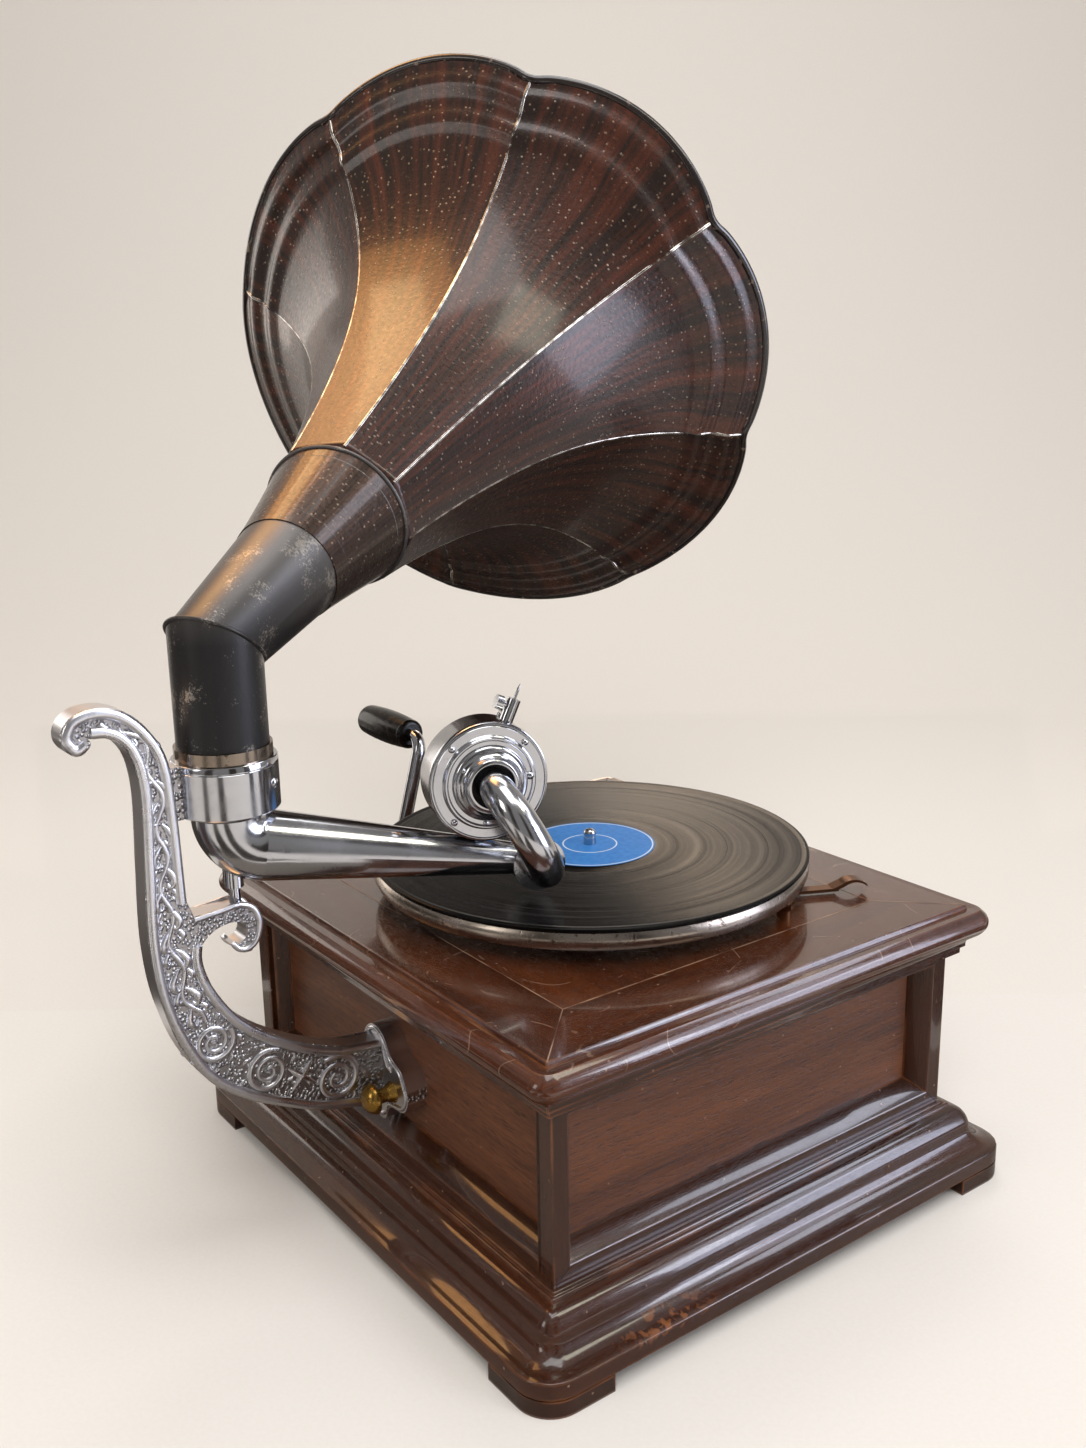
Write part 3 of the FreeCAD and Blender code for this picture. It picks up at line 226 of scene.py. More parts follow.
def mahogany(name, dark, light, turn=None, scuff=None, coat=0.8, dull=0.0, scratched=0.0):
    """Varnished mahogany along the grain map, or along the object's own x after a turn.

    The ribbon figure is about 22 mm wide. Fibres of 1.1 mm and pores of 0.4 by 5 mm are drawn coarser
    than real ones so that they show. Edges, and a scuffed place, are rubbed bare in patches.
    """
    material, tree, shader, place = new_material(name)
    if turn is None:
        lay = add(tree, "UVMap", {}, uv_map="grain")
    else:
        lay = add(tree, "Mapping", {"Vector": place, "Rotation": turn})
    blotch = add(tree, "TexNoise", {"Vector": place, "Scale": 22.0, "Detail": 4.0, "Roughness": 0.6})
    wood = dark
    middle_tone = tuple((a + b) / 2 for a, b in zip(colour(dark), colour(light)))
    ribbon = ((4.0, 45.0), 3.0, 0.6, (0.32, 0.68), 1.0, middle_tone)
    fibres = ((30.0, 900.0), 2.0, 0.0, (0.3, 0.75), 0.45, light)
    pores = ((190.0, 2400.0), 0.0, 0.0, (0.58, 0.68), 0.45, "#170a06")
    for (lengthwise, across), detail, waver, (low, high), most, tone in (ribbon, fibres, pores):
        stretched = add(tree, "Mapping", {"Vector": lay, "Scale": (lengthwise, across, across)})
        pattern = add(tree, "TexNoise", {"Vector": stretched, "Scale": 1.0, "Detail": detail,
                                         "Distortion": waver})
        shown = add(tree, "MapRange", (pattern, low, high, 0, most))
        wood = add(tree, "Mix", {0: shown, 6: wood, 7: tone}, data_type="RGBA")

    plain = add(tree, "NewGeometry", {}, "Normal")
    eased = add(tree, "Bevel", {"Radius": 2.2 * mm}, samples=4)
    along = add(tree, "VectorMath", (plain, eased), operation="DOT_PRODUCT")
    edge = add(tree, "MapRange", (along, 0.985, 0.90))
    patchy = add(tree, "MapRange", (blotch, 0.42, 0.62))
    worn = add(tree, "Math", (edge, patchy), operation="MULTIPLY")
    worn = add(tree, "Math", (worn, 0.75), operation="MULTIPLY")
    if scuff:
        away = add(tree, "VectorMath", (place, scuff), operation="SUBTRACT")
        away = add(tree, "VectorMath", (away, (1.0, 0.4, 2.2)), operation="MULTIPLY")
        away = add(tree, "VectorMath", {0: away}, operation="LENGTH")
        near = add(tree, "MapRange", (away, 14 * mm, 4 * mm, 0, 0.8))
        rubbed = add(tree, "TexNoise", {"Vector": place, "Scale": 210.0, "Detail": 6.0})
        rubbed = add(tree, "MapRange", (rubbed, 0.5, 0.6))
        near = add(tree, "Math", (near, rubbed), operation="MULTIPLY")
        worn = add(tree, "Math", (worn, near), operation="MAXIMUM")
    wood = add(tree, "Mix", {0: worn, 6: wood, 7: "#8a5430"}, data_type="RGBA")

    speck = add(tree, "TexVoronoi", {"Vector": place, "Scale": 95.0})
    nick = add(tree, "MapRange", (speck, 0.075, 0.045, 0, 0.5))
    wood = add(tree, "Mix", {0: nick, 6: wood, 7: "#9b7f6a"}, data_type="RGBA")
    if scratched:
        wander = add(tree, "TexNoise", {"Vector": place, "Scale": 24.0, "Detail": 0.5})
        off_line = add(tree, "Math", (wander, 0.5), operation="SUBTRACT")
        off_line = add(tree, "Math", {0: off_line}, operation="ABSOLUTE")
        scratch = add(tree, "MapRange", (off_line, 0.006, 0.003, 0, scratched))
        broken = add(tree, "TexNoise", {"Vector": place, "Scale": 75.0, "Detail": 1.0})
        broken = add(tree, "MapRange", (broken, 0.5, 0.6))
        scratch = add(tree, "Math", (scratch, broken), operation="MULTIPLY")
        wood = add(tree, "Mix", {0: scratch, 6: wood, 7: "#a58a74"}, data_type="RGBA")

    haze = add(tree, "MapRange", (blotch, 0.3, 0.7, 0.14 + dull, 0.26 + dull))
    # The pores, which are drawn last, lie below the surface.
    height = add(tree, "Math", (shown, -0.8), operation="MULTIPLY")
    height = add(tree, "Math", (height, blotch), operation="ADD")
    bump = add(tree, "Bump", {"Height": height, "Strength": 0.35, "Distance": 0.5 * mm})
    feed(shader, {"Base Color": wood, "Roughness": haze, "Specular IOR Level": 0.4, "Coat Weight": coat,
                  "Coat Roughness": 0.06 + dull, "Normal": bump})
    return material


def lay_map(bm, name, find):
    """Texture map: each corner's place on it is found from its face's centre and its own place."""
    lay = bm.loops.layers.uv.new(name)
    for face in bm.faces:
        centre = face.calc_center_median()
        for loop in face.loops:
            loop[lay].uv = find(centre, loop.vert.co)


def lay_grain(bm, reach):
    """Grain map for mitred lengths round the case: along x on front and back, along y on the sides."""
    def find(centre, at):
        if abs(centre.x) - reach.x > abs(centre.y) - reach.y:
            return at.y + math.copysign(1, centre.x), at.z - abs(at.x)
        return at.x + math.copysign(3, centre.y), at.z - abs(at.y)
    lay_map(bm, "grain", find)


def moulding(reach, levels, segments=5):
    """Closed ring round the case through levels of (distance out, height, corner radius)."""
    bm = bmesh.new()
    loops = []
    for out, height, corner in levels:
        square = bmesh.ops.create_grid(bm, x_segments=1, y_segments=1, size=1.0)["verts"]
        bmesh.ops.scale(bm, vec=(reach.x + out, reach.y + out, 1), verts=square)
        bmesh.ops.translate(bm, vec=(0, 0, height), verts=square)
        before = set(bm.verts) - set(square)
        bmesh.ops.bevel(bm, geom=square, offset=corner, offset_type="OFFSET", segments=segments,
                        profile=0.5, affect="VERTICES", material=-1)
        ring = [v for v in bm.verts if v not in before]
        bmesh.ops.delete(bm, geom=ring[0].link_faces[:], context="FACES_ONLY")
        loops.append(sorted(ring, key=lambda vert: math.atan2(vert.co.y, vert.co.x)))
    for one, two in zip(loops, loops[1:] + loops[:1]):
        for i in range(len(one)):
            bm.faces.new((one[i - 1], one[i], two[i], two[i - 1]))
    bmesh.ops.recalc_face_normals(bm, faces=bm.faces[:])
    return bm


def arc(start, turn, end, steps, corner):
    """Levels along the round stretch from start through turn to end, in (out, height)."""
    made = []
    for i in range(1, steps + 1):
        t = i / steps
        weights = ((1 - t) * (1 - 2 * t), 4 * t * (1 - t), t * (2 * t - 1))
        out = sum(w * p[0] for w, p in zip(weights, (start, turn, end)))
        height = sum(w * p[1] for w, p in zip(weights, (start, turn, end)))
        made.append((out, height, corner(out)))
    return made


def add_piece(name, bm, material, body, slot, *stands_for, sharp=40):
    made = new_object(name, bm, material, sharp)
    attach(made, body)
    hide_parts(*stands_for)
    return made


def dress(material, *names):
    """Give CAD nodes their finish."""
    for name in names:
        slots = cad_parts[name].data.materials
        slots.clear()
        slots.append(material)


# Plinth: a broad ogee moulding on a straight strip, in four mitred lengths with rounded corners,
# standing on four bracket feet cut from the same dark wood.
body = Vector((150.5, 138.0)) * mm
foot_top = 9 * mm
plinth_top = 42 * mm
plinth_out = 30 * mm
plinth_round = 19 * mm
moulding_back = -18 * mm
square_corner = 0.3 * mm
least_round = 0.6 * mm

scuffed_nose = Vector((-178, 92, 20)) * mm
case_wood = mahogany("mahogany_moulding", "#200e07", "#502a17", scuff=scuffed_nose)


def plinth_corner(out):
    """Corner radius in plan, which grows from the bead to the strip."""
    return max(0.69 * out - 1.7 * mm, least_round)


arris = (29.5 * mm, 18.2 * mm)
waist = (15.6 * mm, 29.0 * mm)
ogee_step = (15.4 * mm, 30.6 * mm)
shoulder = (5.6 * mm, 39.2 * mm)
levels = [(moulding_back, foot_top, square_corner), (29.4 * mm, foot_top, plinth_round),
          (plinth_out, foot_top + 0.6 * mm, plinth_round), (plinth_out, 17.5 * mm, plinth_round),
          (29.8 * mm, 18.0 * mm, plinth_round), (*arris, plinth_round)]
levels += arc(arris, (19.2 * mm, 22.0 * mm), waist, 9, plinth_corner)
levels += [(*ogee_step, plinth_corner(ogee_step[0]))]
levels += arc(ogee_step, (11.6 * mm, 36.8 * mm), shoulder, 8, plinth_corner)
beads = [(5.1, 39.3), (5.0, 40.2), (4.5, 40.8), (3.7, 41.0), (3.0, 40.7), (2.7, 40.4), (2.4, 40.6),
         (2.3, 41.4), (1.9, 41.9), (1.4, 42.0)]
levels += [(out * mm, height * mm, mm) for out, height in beads]
levels += [(moulding_back, plinth_top, square_corner)]
bm = moulding(body, levels)
lay_grain(bm, body)
add_piece("plinth", bm, case_wood, "case", "mahogany", "plinth_moulding")
dress(mahogany("mahogany_feet", "#1f0d07", "#432212", (0, 0, 0)), "corner_feet", "bottom_board")

# Case sides: four mitred mahogany frames. A slope is worked round each opening, from the frame's
# face down to the panel that is fixed behind it.
body_top = 134 * mm
opening = (58 * mm, 121 * mm)
stile = 17.5 * mm
slope = 8 * mm
frame_depth = 12 * mm
slope_foot = 0.3 * mm - frame_depth
quirk = 0.9 * mm
quirk_share = 0.9
eased_edge = 0.5 * mm


def side_frame(half_length, inner_half):
    """Frame in its own plane: x along the wall, z up, y outwards from the body face."""
    bm = bmesh.new()
    middle_z = (opening[0] + opening[1]) / 2
    low = plinth_top - middle_z
    high = body_top - middle_z
    hole = (opening[1] - opening[0]) / 2
    lip = quirk_share * slope
    steps = [(half_length, low, high, -frame_depth), (half_length, low, high, 0),
             (inner_half + slope, -hole - slope, hole + slope, 0),
             (inner_half + lip, -hole - lip, hole + lip, -quirk),
             (inner_half, -hole, hole, slope_foot), (inner_half, -hole, hole, -frame_depth)]
    rings = []
    for half, bottom, top, out in steps:
        square = ((-half, bottom), (half, bottom), (half, top), (-half, top))
        rings.append([bm.verts.new((x, out, middle_z + z)) for x, z in square])
    for one, two in zip(rings, rings[1:] + rings[:1]):
        for i in range(4):
            bm.faces.new((one[i], one[i - 3], two[i - 3], two[i]))
    bmesh.ops.recalc_face_normals(bm, faces=bm.faces[:])
    outer = [e for e in bm.edges
             if all(abs(v.co.y) < 1e-6 and abs(v.co.x) < half_length - mm for v in e.verts)]
    bmesh.ops.bevel(bm, geom=outer, offset=eased_edge, offset_type="OFFSET", segments=2, profile=0.5,
                    affect="EDGES", material=-1)

    def find(centre, at):
        if abs(centre.x) - inner_half > max(opening[0] - centre.z, centre.z - opening[1]):
            return at.z + math.copysign(5, centre.x), at.x - at.y
        return at.x + 7, at.z - at.y
    lay_map(bm, "grain", find)
    return bm


for name, half, inner, turn in (("back", body.x - frame_depth, body.x - stile, 0),
                                ("front", body.x - frame_depth, body.x - stile, 180),
                                ("left", body.y, body.y - stile, 90),
                                ("right", body.y, body.y - stile, 270)):
    bm = side_frame(half, inner)
    out = body.y if turn in (0, 180) else body.x
    bmesh.ops.translate(bm, vec=(0, out, 0), verts=bm.verts[:])
    bmesh.ops.rotate(bm, verts=bm.verts[:], matrix=Matrix.Rotation(math.radians(turn), 3, "Z"))
    add_piece("frame_" + name, bm, case_wood, "case", "mahogany", "case_" + name)

# Painted shade in the frames' mitres: dark and dull, in thin lines whose tone comes and goes along each
# joint.
mitre_painted_shade = mottled("painted_mitre_shade", "#080403", "#24120a", 90.0, 3.0, 0.6)
shade_line_width = 0.4 * mm
shade_line_thick = 0.2 * mm
shade_line_sunk = 0.05 * mm
bm = bmesh.new()
for half, turn in ((body.x, 0), (body.x, 180), (body.y, 90), (body.y, 270)):
    reach = half - stile + slope
    for side in (-1, 1):
        for near, end in ((opening[0] - slope, plinth_top), (opening[1] + slope, body_top)):
            run = Vector((half - mm - reach, 0, end - near))
            made = bmesh.ops.create_cube(bm, size=1.0)["verts"]
            bmesh.ops.scale(bm, vec=(run.length, shade_line_thick, shade_line_width), verts=made)
            bmesh.ops.rotate(bm, verts=made, matrix=Matrix.Rotation(-math.atan2(run.z, run.x), 3, "Y"))
            out = body.y if turn in (0, 180) else body.x
            bmesh.ops.translate(bm, vec=(reach + run.x / 2, out - shade_line_sunk, (near + end) / 2), verts=made)
            bmesh.ops.scale(bm, vec=(side, 1, 1), verts=made)
            bmesh.ops.rotate(bm, verts=made, matrix=Matrix.Rotation(math.radians(turn), 3, "Z"))
bmesh.ops.recalc_face_normals(bm, faces=bm.faces[:])
add_piece("frame_mitres", bm, mitre_painted_shade, "case", "mahogany")

# Panels and beads: lighter mahogany, and the panels are lightened further as a painted sheen. The
# panels' varnish has gone dull; round beads with upright grain close the corners between the frames.
for name, turn, nodes in (("mahogany_panel_long", 0, ("back_panel", "front_panel")),
                          ("mahogany_panel_side", 90, ("left_panel", "right_panel"))):
    dress(mahogany(name, "#3a1c0e", "#824d2c", (0, 0, math.radians(turn)), coat=0.2, dull=0.22), *nodes)
dress(mahogany("mahogany_bead", "#34190e", "#744424", (0, math.radians(90), 0)), "corner_beads")

# Cornice and lid: a cove under the lid, and a lid with a round nose, a small step and a wide
# mitred border round the board on which the turntable stands.
lid_bottom = 147 * mm
lid_top = 163 * mm
lid_edge = (15 * mm, lid_bottom)
border_in = -30 * mm


def lid_corner(out):
    """Corner radius in plan, which grows with the overhang."""
    return max(out - 7 * mm, least_round)


fillet = [(5.1, 0), (5.5, 0.4), (5.5, 3.3), (7.5, 4.5)]
levels = [(moulding_back, body_top, square_corner)]
levels += [(out * mm, body_top + height * mm, least_round) for out, height in fillet]
levels += arc(levels[-1], (9.0 * mm, body_top + 9.5 * mm), lid_edge, 7, lid_corner)
levels += [(moulding_back, lid_bottom, square_corner)]
bm = moulding(body, levels)
lay_grain(bm, body)
add_piece("cornice_cove", bm, case_wood, "case", "mahogany", "cornice")

nose = (19 * mm, lid_bottom + 7.2 * mm)
levels = [(border_in, lid_bottom, square_corner), (*lid_edge, lid_corner(lid_edge[0]))]
levels += arc(lid_edge, nose, (14 * mm, lid_top - 2.0 * mm), 10, lid_corner)
levels += [(8.2 * mm, lid_top - 2.3 * mm, 1.2 * mm), (7.4 * mm, lid_top - 2.4 * mm, 1.0 * mm),
           (7.0 * mm, lid_top - 0.8 * mm, 0.8 * mm), (6.2 * mm, lid_top, least_round),
           (border_in + 0.3 * mm, lid_top, square_corner), (border_in, lid_top - 0.4 * mm, square_corner)]
bm = moulding(body, levels, 7)
lay_grain(bm, body)
lid_wood = mahogany("mahogany_lid", "#2a1209", "#65341a", scratched=0.35)
add_piece("lid_frame", bm, lid_wood, "case", "mahogany", "lid_border")

board = body + Vector((border_in, border_in))
spindle = Vector((0, -4)) * mm
spindle_hole = 10 * mm
bm = bmesh.new()
square = bmesh.ops.create_grid(bm, x_segments=1, y_segments=1, size=1.0)["verts"]
bmesh.ops.scale(bm, vec=(board.x, board.y, 1), verts=square)
bmesh.ops.delete(bm, geom=bm.faces[:], context="FACES_ONLY")
bmesh.ops.subdivide_edges(bm, edges=bm.edges[:], cuts=7)
rim_edges = bm.edges[:]
hole = bmesh.ops.create_circle(bm, segments=32, radius=spindle_hole)["verts"]
bmesh.ops.translate(bm, vec=(spindle.x, spindle.y, 0), verts=hole)
bmesh.ops.bridge_loops(bm, edges=rim_edges + list({e for v in hole for e in v.link_edges}))
bmesh.ops.translate(bm, vec=(0, 0, lid_top), verts=bm.verts[:])
bmesh.ops.recalc_face_normals(bm, faces=bm.faces[:])
bmesh.ops.solidify(bm, geom=bm.faces[:], thickness=lid_top - lid_bottom)
lay_map(bm, "grain", lambda centre, at: (at.x + 11, at.y + at.z))
board_wood = mahogany("mahogany_board", "#2d130a", "#6d381b", scratched=0.35)
add_piece("lid_middle", bm, board_wood, "case", "mahogany", "lid_board")

# Filler in the lid's joints: it has shrunk pale, a hairline round the board and along each mitre.
filler = mottled("joint_filler", "#3a2015", "#9a8069", 60.0, 4.0, 0.55, (0.4, 0.6))
hairline = 0.45 * mm
filler_thick = 0.2 * mm
mitre_end = 5.5 * mm
joint_height = lid_top - 0.02 * mm
bm = bmesh.new()


def strip(bm, start, end, width, height):
    """Flat bar between two points of the lid, just proud of it."""
    run = Vector(end) - Vector(start)
    made = bmesh.ops.create_cube(bm, size=1.0)["verts"]
    bmesh.ops.scale(bm, vec=(run.length, width, filler_thick), verts=made)
    bmesh.ops.rotate(bm, verts=made, matrix=Matrix.Rotation(math.atan2(run.y, run.x), 3, "Z"))
    middle = (Vector(start) + Vector(end)) / 2
    bmesh.ops.translate(bm, vec=(middle.x, middle.y, height), verts=made)


for sx, sy in ((1, 1), (-1, 1), (-1, -1), (1, -1)):
    inner = Vector((sx * board.x, sy * board.y))
    outer = Vector((sx * (body.x + mitre_end), sy * (body.y + mitre_end)))
    next_corner = (-inner.y * board.x / board.y, inner.x * board.y / board.x)
    strip(bm, inner, outer, hairline, joint_height)
    strip(bm, inner, next_corner, hairline, joint_height)
add_piece("lid_joints", bm, filler, "case", "mahogany")

# Polished nickel: a thin bright plate on brass, slightly warm, with wiping marks about 25 mm across
# and pits of 4 mm, drawn larger than real ones so that they show.


def nickel(name, tint, rough, pits):
    material, tree, shader, place = new_material(name)
    smear = add(tree, "TexNoise", {"Vector": place, "Scale": 40.0, "Detail": 5.0, "Roughness": 0.65})
    grime = add(tree, "TexNoise", {"Vector": place, "Scale": 260.0, "Detail": 3.0})
    spread = add(tree, "MapRange", (smear, 0.35, 0.7, rough, rough + 0.13))
    dirt = add(tree, "MapRange", (grime, 0.60, 0.74, 0, pits))
    plate = add(tree, "Mix", {0: dirt, 6: tint, 7: "#4b3a30"}, data_type="RGBA")
    bump = add(tree, "Bump", {"Height": dirt, "Strength": 0.5, "Distance": 0.25 * mm}, invert=True)
    feed(shader, {"Roughness": spread, "Base Color": plate, "Metallic": 1.0, "Normal": bump})
    return material


bright_nickel = nickel("nickel_bright", "#bdbec2", 0.09, 0.12)
worn_nickel = nickel("nickel_worn", "#9c9288", 0.2, 0.85)

# Turntable: a pressed plate with a plated rim, pitted with rust, and a felt under the record. The
# felt is matt, with a fuzz of 0.7 mm.
dress(worn_nickel, "turntable")
felt = mottled("felt_brown", "#15100d", "#33261f", 1500.0, 2.0, 0.95)
dress(felt, "turntable_felt")

# Record: black shellac pressed with one long spiral of grooves, drawn here as rings wide enough to
# show, with a raised edge. It shines in a fan across the rings.


def lathe(bm, base, axis, profile, closed=True, steps=64):
    """Turn a profile of (radius, height), in mm, about an axis through the base."""
    line = [bm.verts.new((r * mm, 0, h * mm)) for r, h in profile]
    ends = line[1:] + line[:1] if closed else line[1:]
    edges = [bm.edges.new(pair) for pair in zip(line, ends)]
    before = set(bm.verts) - set(line)
    bmesh.ops.spin(bm, geom=line + edges, cent=(0, 0, 0), axis=(0, 0, 1), angle=math.tau, steps=steps,
                   use_merge=True)
    made = [v for v in bm.verts if v not in before]
    bmesh.ops.transform(bm, verts=made, matrix=Matrix.Translation(base)
                        @ Vector(axis).to_track_quat("Z", "Y").to_matrix().to_4x4())
    bmesh.ops.remove_doubles(bm, verts=made, dist=0.001 * mm)
    bmesh.ops.recalc_face_normals(bm, faces=bm.faces[:])


def about_spindle(tree, place):
    """Place in plan from the spindle's axis, and its distance."""
    flat = add(tree, "VectorMath", (place, (0, -spindle.y, 0)), operation="ADD")
    flat = add(tree, "VectorMath", (flat, (1, 1, 0)), operation="MULTIPLY")
    return flat, add(tree, "VectorMath", {0: flat}, operation="LENGTH")


record_low = 185.0
grooves_in = 46 * mm
grooves_out = 120.5 * mm
shellac, tree, shader, place = new_material("shellac_grooved")
flat, radius = about_spindle(tree, place)
ring = add(tree, "CombineXYZ", {"X": radius})
grooves = add(tree, "TexNoise", {"Vector": ring, "Scale": 1900.0, "Detail": 3.0})
bands = add(tree, "TexNoise", {"Vector": ring, "Scale": 170.0})
spread = add(tree, "MapRange", (bands, 0.3, 0.7, 0.17, 0.31))
shade = add(tree, "Mix", {0: bands, 6: "#040404", 7: "#0c0a09"}, data_type="RGBA")
turned = add(tree, "VectorMath", ((0, 0, 1), flat), operation="CROSS_PRODUCT")
cut = add(tree, "MapRange", (radius, grooves_in, grooves_in + 1 * mm))
lead = add(tree, "MapRange", (radius, grooves_out, grooves_out - 0.5 * mm))
cut = add(tree, "Math", (cut, lead), operation="MULTIPLY")
grooves = add(tree, "Math", (grooves, cut), operation="MULTIPLY")
bump = add(tree, "Bump", {"Height": grooves, "Strength": 0.25, "Distance": 0.35 * mm})
feed(shader, {"Roughness": spread, "Base Color": shade, "Specular IOR Level": 0.13, "Anisotropic": 0.85,
              "Tangent": turned, "Normal": bump})
bm = bmesh.new()
lathe(bm, (spindle.x, spindle.y, record_low * mm), (0, 0, 1),
      [(3.7, 0), (124.2, 0), (125, 0.6), (125, 1.5), (124.4, 1.95), (123.2, 2.0), (122.2, 1.75), (120, 1.7),
       (49, 1.7), (45, 1.75), (39, 1.8), (37.6, 1.95), (3.7, 1.95)], steps=128)
add_piece("record_disc", bm, shellac, "turntable", "shellac", "record")

# Label: blue printed paper, matt, with two pale rings.
label_rings = (36.3 * mm, 15.5 * mm)
label, tree, shader, place = new_material("label_paper")
flat, radius = about_spindle(tree, place)
fibres = add(tree, "TexNoise", {"Vector": place, "Scale": 300.0, "Detail": 3.0})
blue = add(tree, "Mix", {0: fibres, 6: "#2467ae", 7: "#4389cc"}, data_type="RGBA")
for size in label_rings:
    away = add(tree, "Math", (radius, size), operation="SUBTRACT")
    away = add(tree, "Math", {0: away}, operation="ABSOLUTE")
    line = add(tree, "MapRange", (away, 0.5 * mm, 0.3 * mm))
    blue = add(tree, "Mix", {0: line, 6: blue, 7: "#cfd9e2"}, data_type="RGBA")
feed(shader, {"Base Color": blue, "Roughness": 0.5, "Specular IOR Level": 0.2})
dress(label, "record_label")

# Motor: steel plates and pillars, brass wheels and barrel, rubber bushes, all inside the case.
steel = nickel("motor_steel_plain", "#8f8d8a", 0.32, 0.3)
dress(steel, "motor_top_plate", "motor_base_plate", "motor_pillars", "barrel_arbor", "governor_shaft",
      "governor_brackets", "mainspring", "governor_springs")
brass = nickel("brass_turned", "#b08a45", 0.2, 0.35)
dress(brass, "spring_barrel", "train_wheel", "winding_gear", "governor_drive_wheel", "governor_weights")

# Rubber: black and matt, with a brownish bloom in spots of 5 mm.
rubber, tree, shader, place = new_material("rubber_black")
bloom = add(tree, "TexNoise", {"Vector": place, "Scale": 200.0, "Detail": 4.0})
shade = add(tree, "Mix", {0: bloom, 6: "#0e0b09", 7: "#241d18"}, data_type="RGBA")
bump = add(tree, "Bump", {"Height": bloom, "Strength": 0.3, "Distance": 0.3 * mm})
feed(shader, {"Base Color": shade, "Roughness": 0.65, "Normal": bump})
dress(rubber, "motor_bushes", "neck_isolator", "sound_box_gaskets")
dress(bright_nickel, "spindle")

# Crank: a bent nickel rod with a turned ebonite grip that spins on it. Ebonite is hard black rubber
# with a soft shine, hazy in spots of 7 mm.
dress(bright_nickel, "crank", "crank_bush")
ebonite, tree, shader, place = new_material("ebonite_polished")
rub = add(tree, "TexNoise", {"Vector": place, "Scale": 140.0, "Detail": 4.0})
haze = add(tree, "MapRange", (rub, 0.35, 0.7, 0.14, 0.34))
shade = add(tree, "Mix", {0: rub, 6: "#040303", 7: "#150f0b"}, data_type="RGBA")
feed(shader, {"Roughness": haze, "Base Color": shade, "Specular IOR Level": 0.25})
dress(ebonite, "crank_grip")

# Bracket: a nickel-plated casting with raised edges round a stippled ground, on which a leafy stem
# runs down the upright and three scrolls fill the foot. Two brass thumb screws hold it to the case.
column = Vector((8, 212)) * mm
ledge = 203.5 * mm
bracket_half = 6 * mm
edge_inset = 2.7 * mm
edge_round = 2.7 * mm
relief_depth = 0.7
ledge_round = 1.6 * mm
stem_round = 1.3 * mm
stem_wave = 2.4 * mm
wave_turn = 1.15
leaf_gap = 2.5 * mm
curl_steps = 26
curl_turn = 31
petals = 7
petal_turn = 46


def tube(bm, points, radii, cyclic=False):
    """Round bar through the points, drawn smooth, with a radius at each."""
    curve = bpy.data.curves.new("bar", "CURVE")
    curve.dimensions = "3D"
    curve.bevel_depth = 1.0
    curve.bevel_resolution = 3
    curve.resolution_u = 5
    curve.use_fill_caps = True
    line = curve.splines.new("BEZIER")
    line.bezier_points.add(len(points) - 1)
    line.use_cyclic_u = cyclic
    for knot, at, radius in zip(line.bezier_points, points, radii):
        knot.co = at
        knot.radius = radius
        knot.handle_left_type = knot.handle_right_type = "AUTO"
    holder = bpy.data.objects.new("bar", curve)
    mesh = bpy.data.meshes.new_from_object(holder)
    bm.from_mesh(mesh)
    bpy.data.objects.remove(holder)
    bpy.data.curves.remove(curve)
    bpy.data.meshes.remove(mesh)


def along(points, count):
    """Evenly spaced places on a smooth line through the points, each with its direction."""
    dense = []
    ends = [2 * points[0] - points[1]] + points + [2 * points[-1] - points[-2]]
    for a, b, c, d in zip(ends, ends[1:], ends[2:], ends[3:]):
        for i in range(12):
            s = i / 12
            bend = 2 * a - 5 * b + 4 * c - d + s * (3 * (b - c) + d - a)
            dense.append(b + 0.5 * s * (c - a + s * bend))
    dense.append(points[-1])
    lengths = [0.0]
    for one, two in zip(dense, dense[1:]):
        lengths.append(lengths[-1] + (two - one).length)
    made = []
    for i in range(count):
        want = lengths[-1] * i / (count - 1)
        k = max(1, next(n for n, run in enumerate(lengths) if run >= want - 1e-9))
        share = (want - lengths[k - 1]) / (lengths[k] - lengths[k - 1])
        made.append((dense[k - 1].lerp(dense[k], share), (dense[k] - dense[k - 1]).normalized()))
    return made


def side_points(pairs):
    """Points of the bracket's side, given in mm from the column axis and from the ledge."""
    return [Vector((column.y + y * mm, ledge + z * mm)) for y, z in pairs]


back_edge = side_points([(-74, -133.5), (-60, -130.5), (-36, -124.5), (-14, -114.5), (8, -101.5),
                         (27, -82.5), (42, -47.5), (47, -13.5), (46, 26.5), (44.5, 64.5), (48, 84.5),
                         (56, 93.5), (65, 95.3)])
hook_edge = side_points([(66.5, 90.5), (72, 88.5), (78, 95.5), (74, 105.5), (62, 109), (49, 105.5),
                         (37, 93.5), (30, 77.5), (28, 51.5), (27, 8.5)])
ledge_edge = side_points([(24, -2), (12, -1), (-3, -1), (-8.5, -7), (-8.5, -17), (-4, -23),
                          (1.5, -23), (5.5, -19)])
inner_edge = side_points([(21, -15.5), (21.5, -25.5), (16, -41.5), (4, -59.5), (-11, -72.5), (-32, -85),
                          (-50, -92), (-74, -95.5)])
stem_line = side_points([(60, 101.5), (50, 97), (41, 86), (36.7, 66), (36.5, 40), (37, 12), (35, -14),
                         (31, -38), (24, -56)])


def left_of(way):
    """Direction a quarter turn to the left."""
    return Vector((-way.y, way.x))


def heading(degrees):
    """Unit direction at an angle."""
    return Vector((math.cos(math.radians(degrees)), math.sin(math.radians(degrees))))


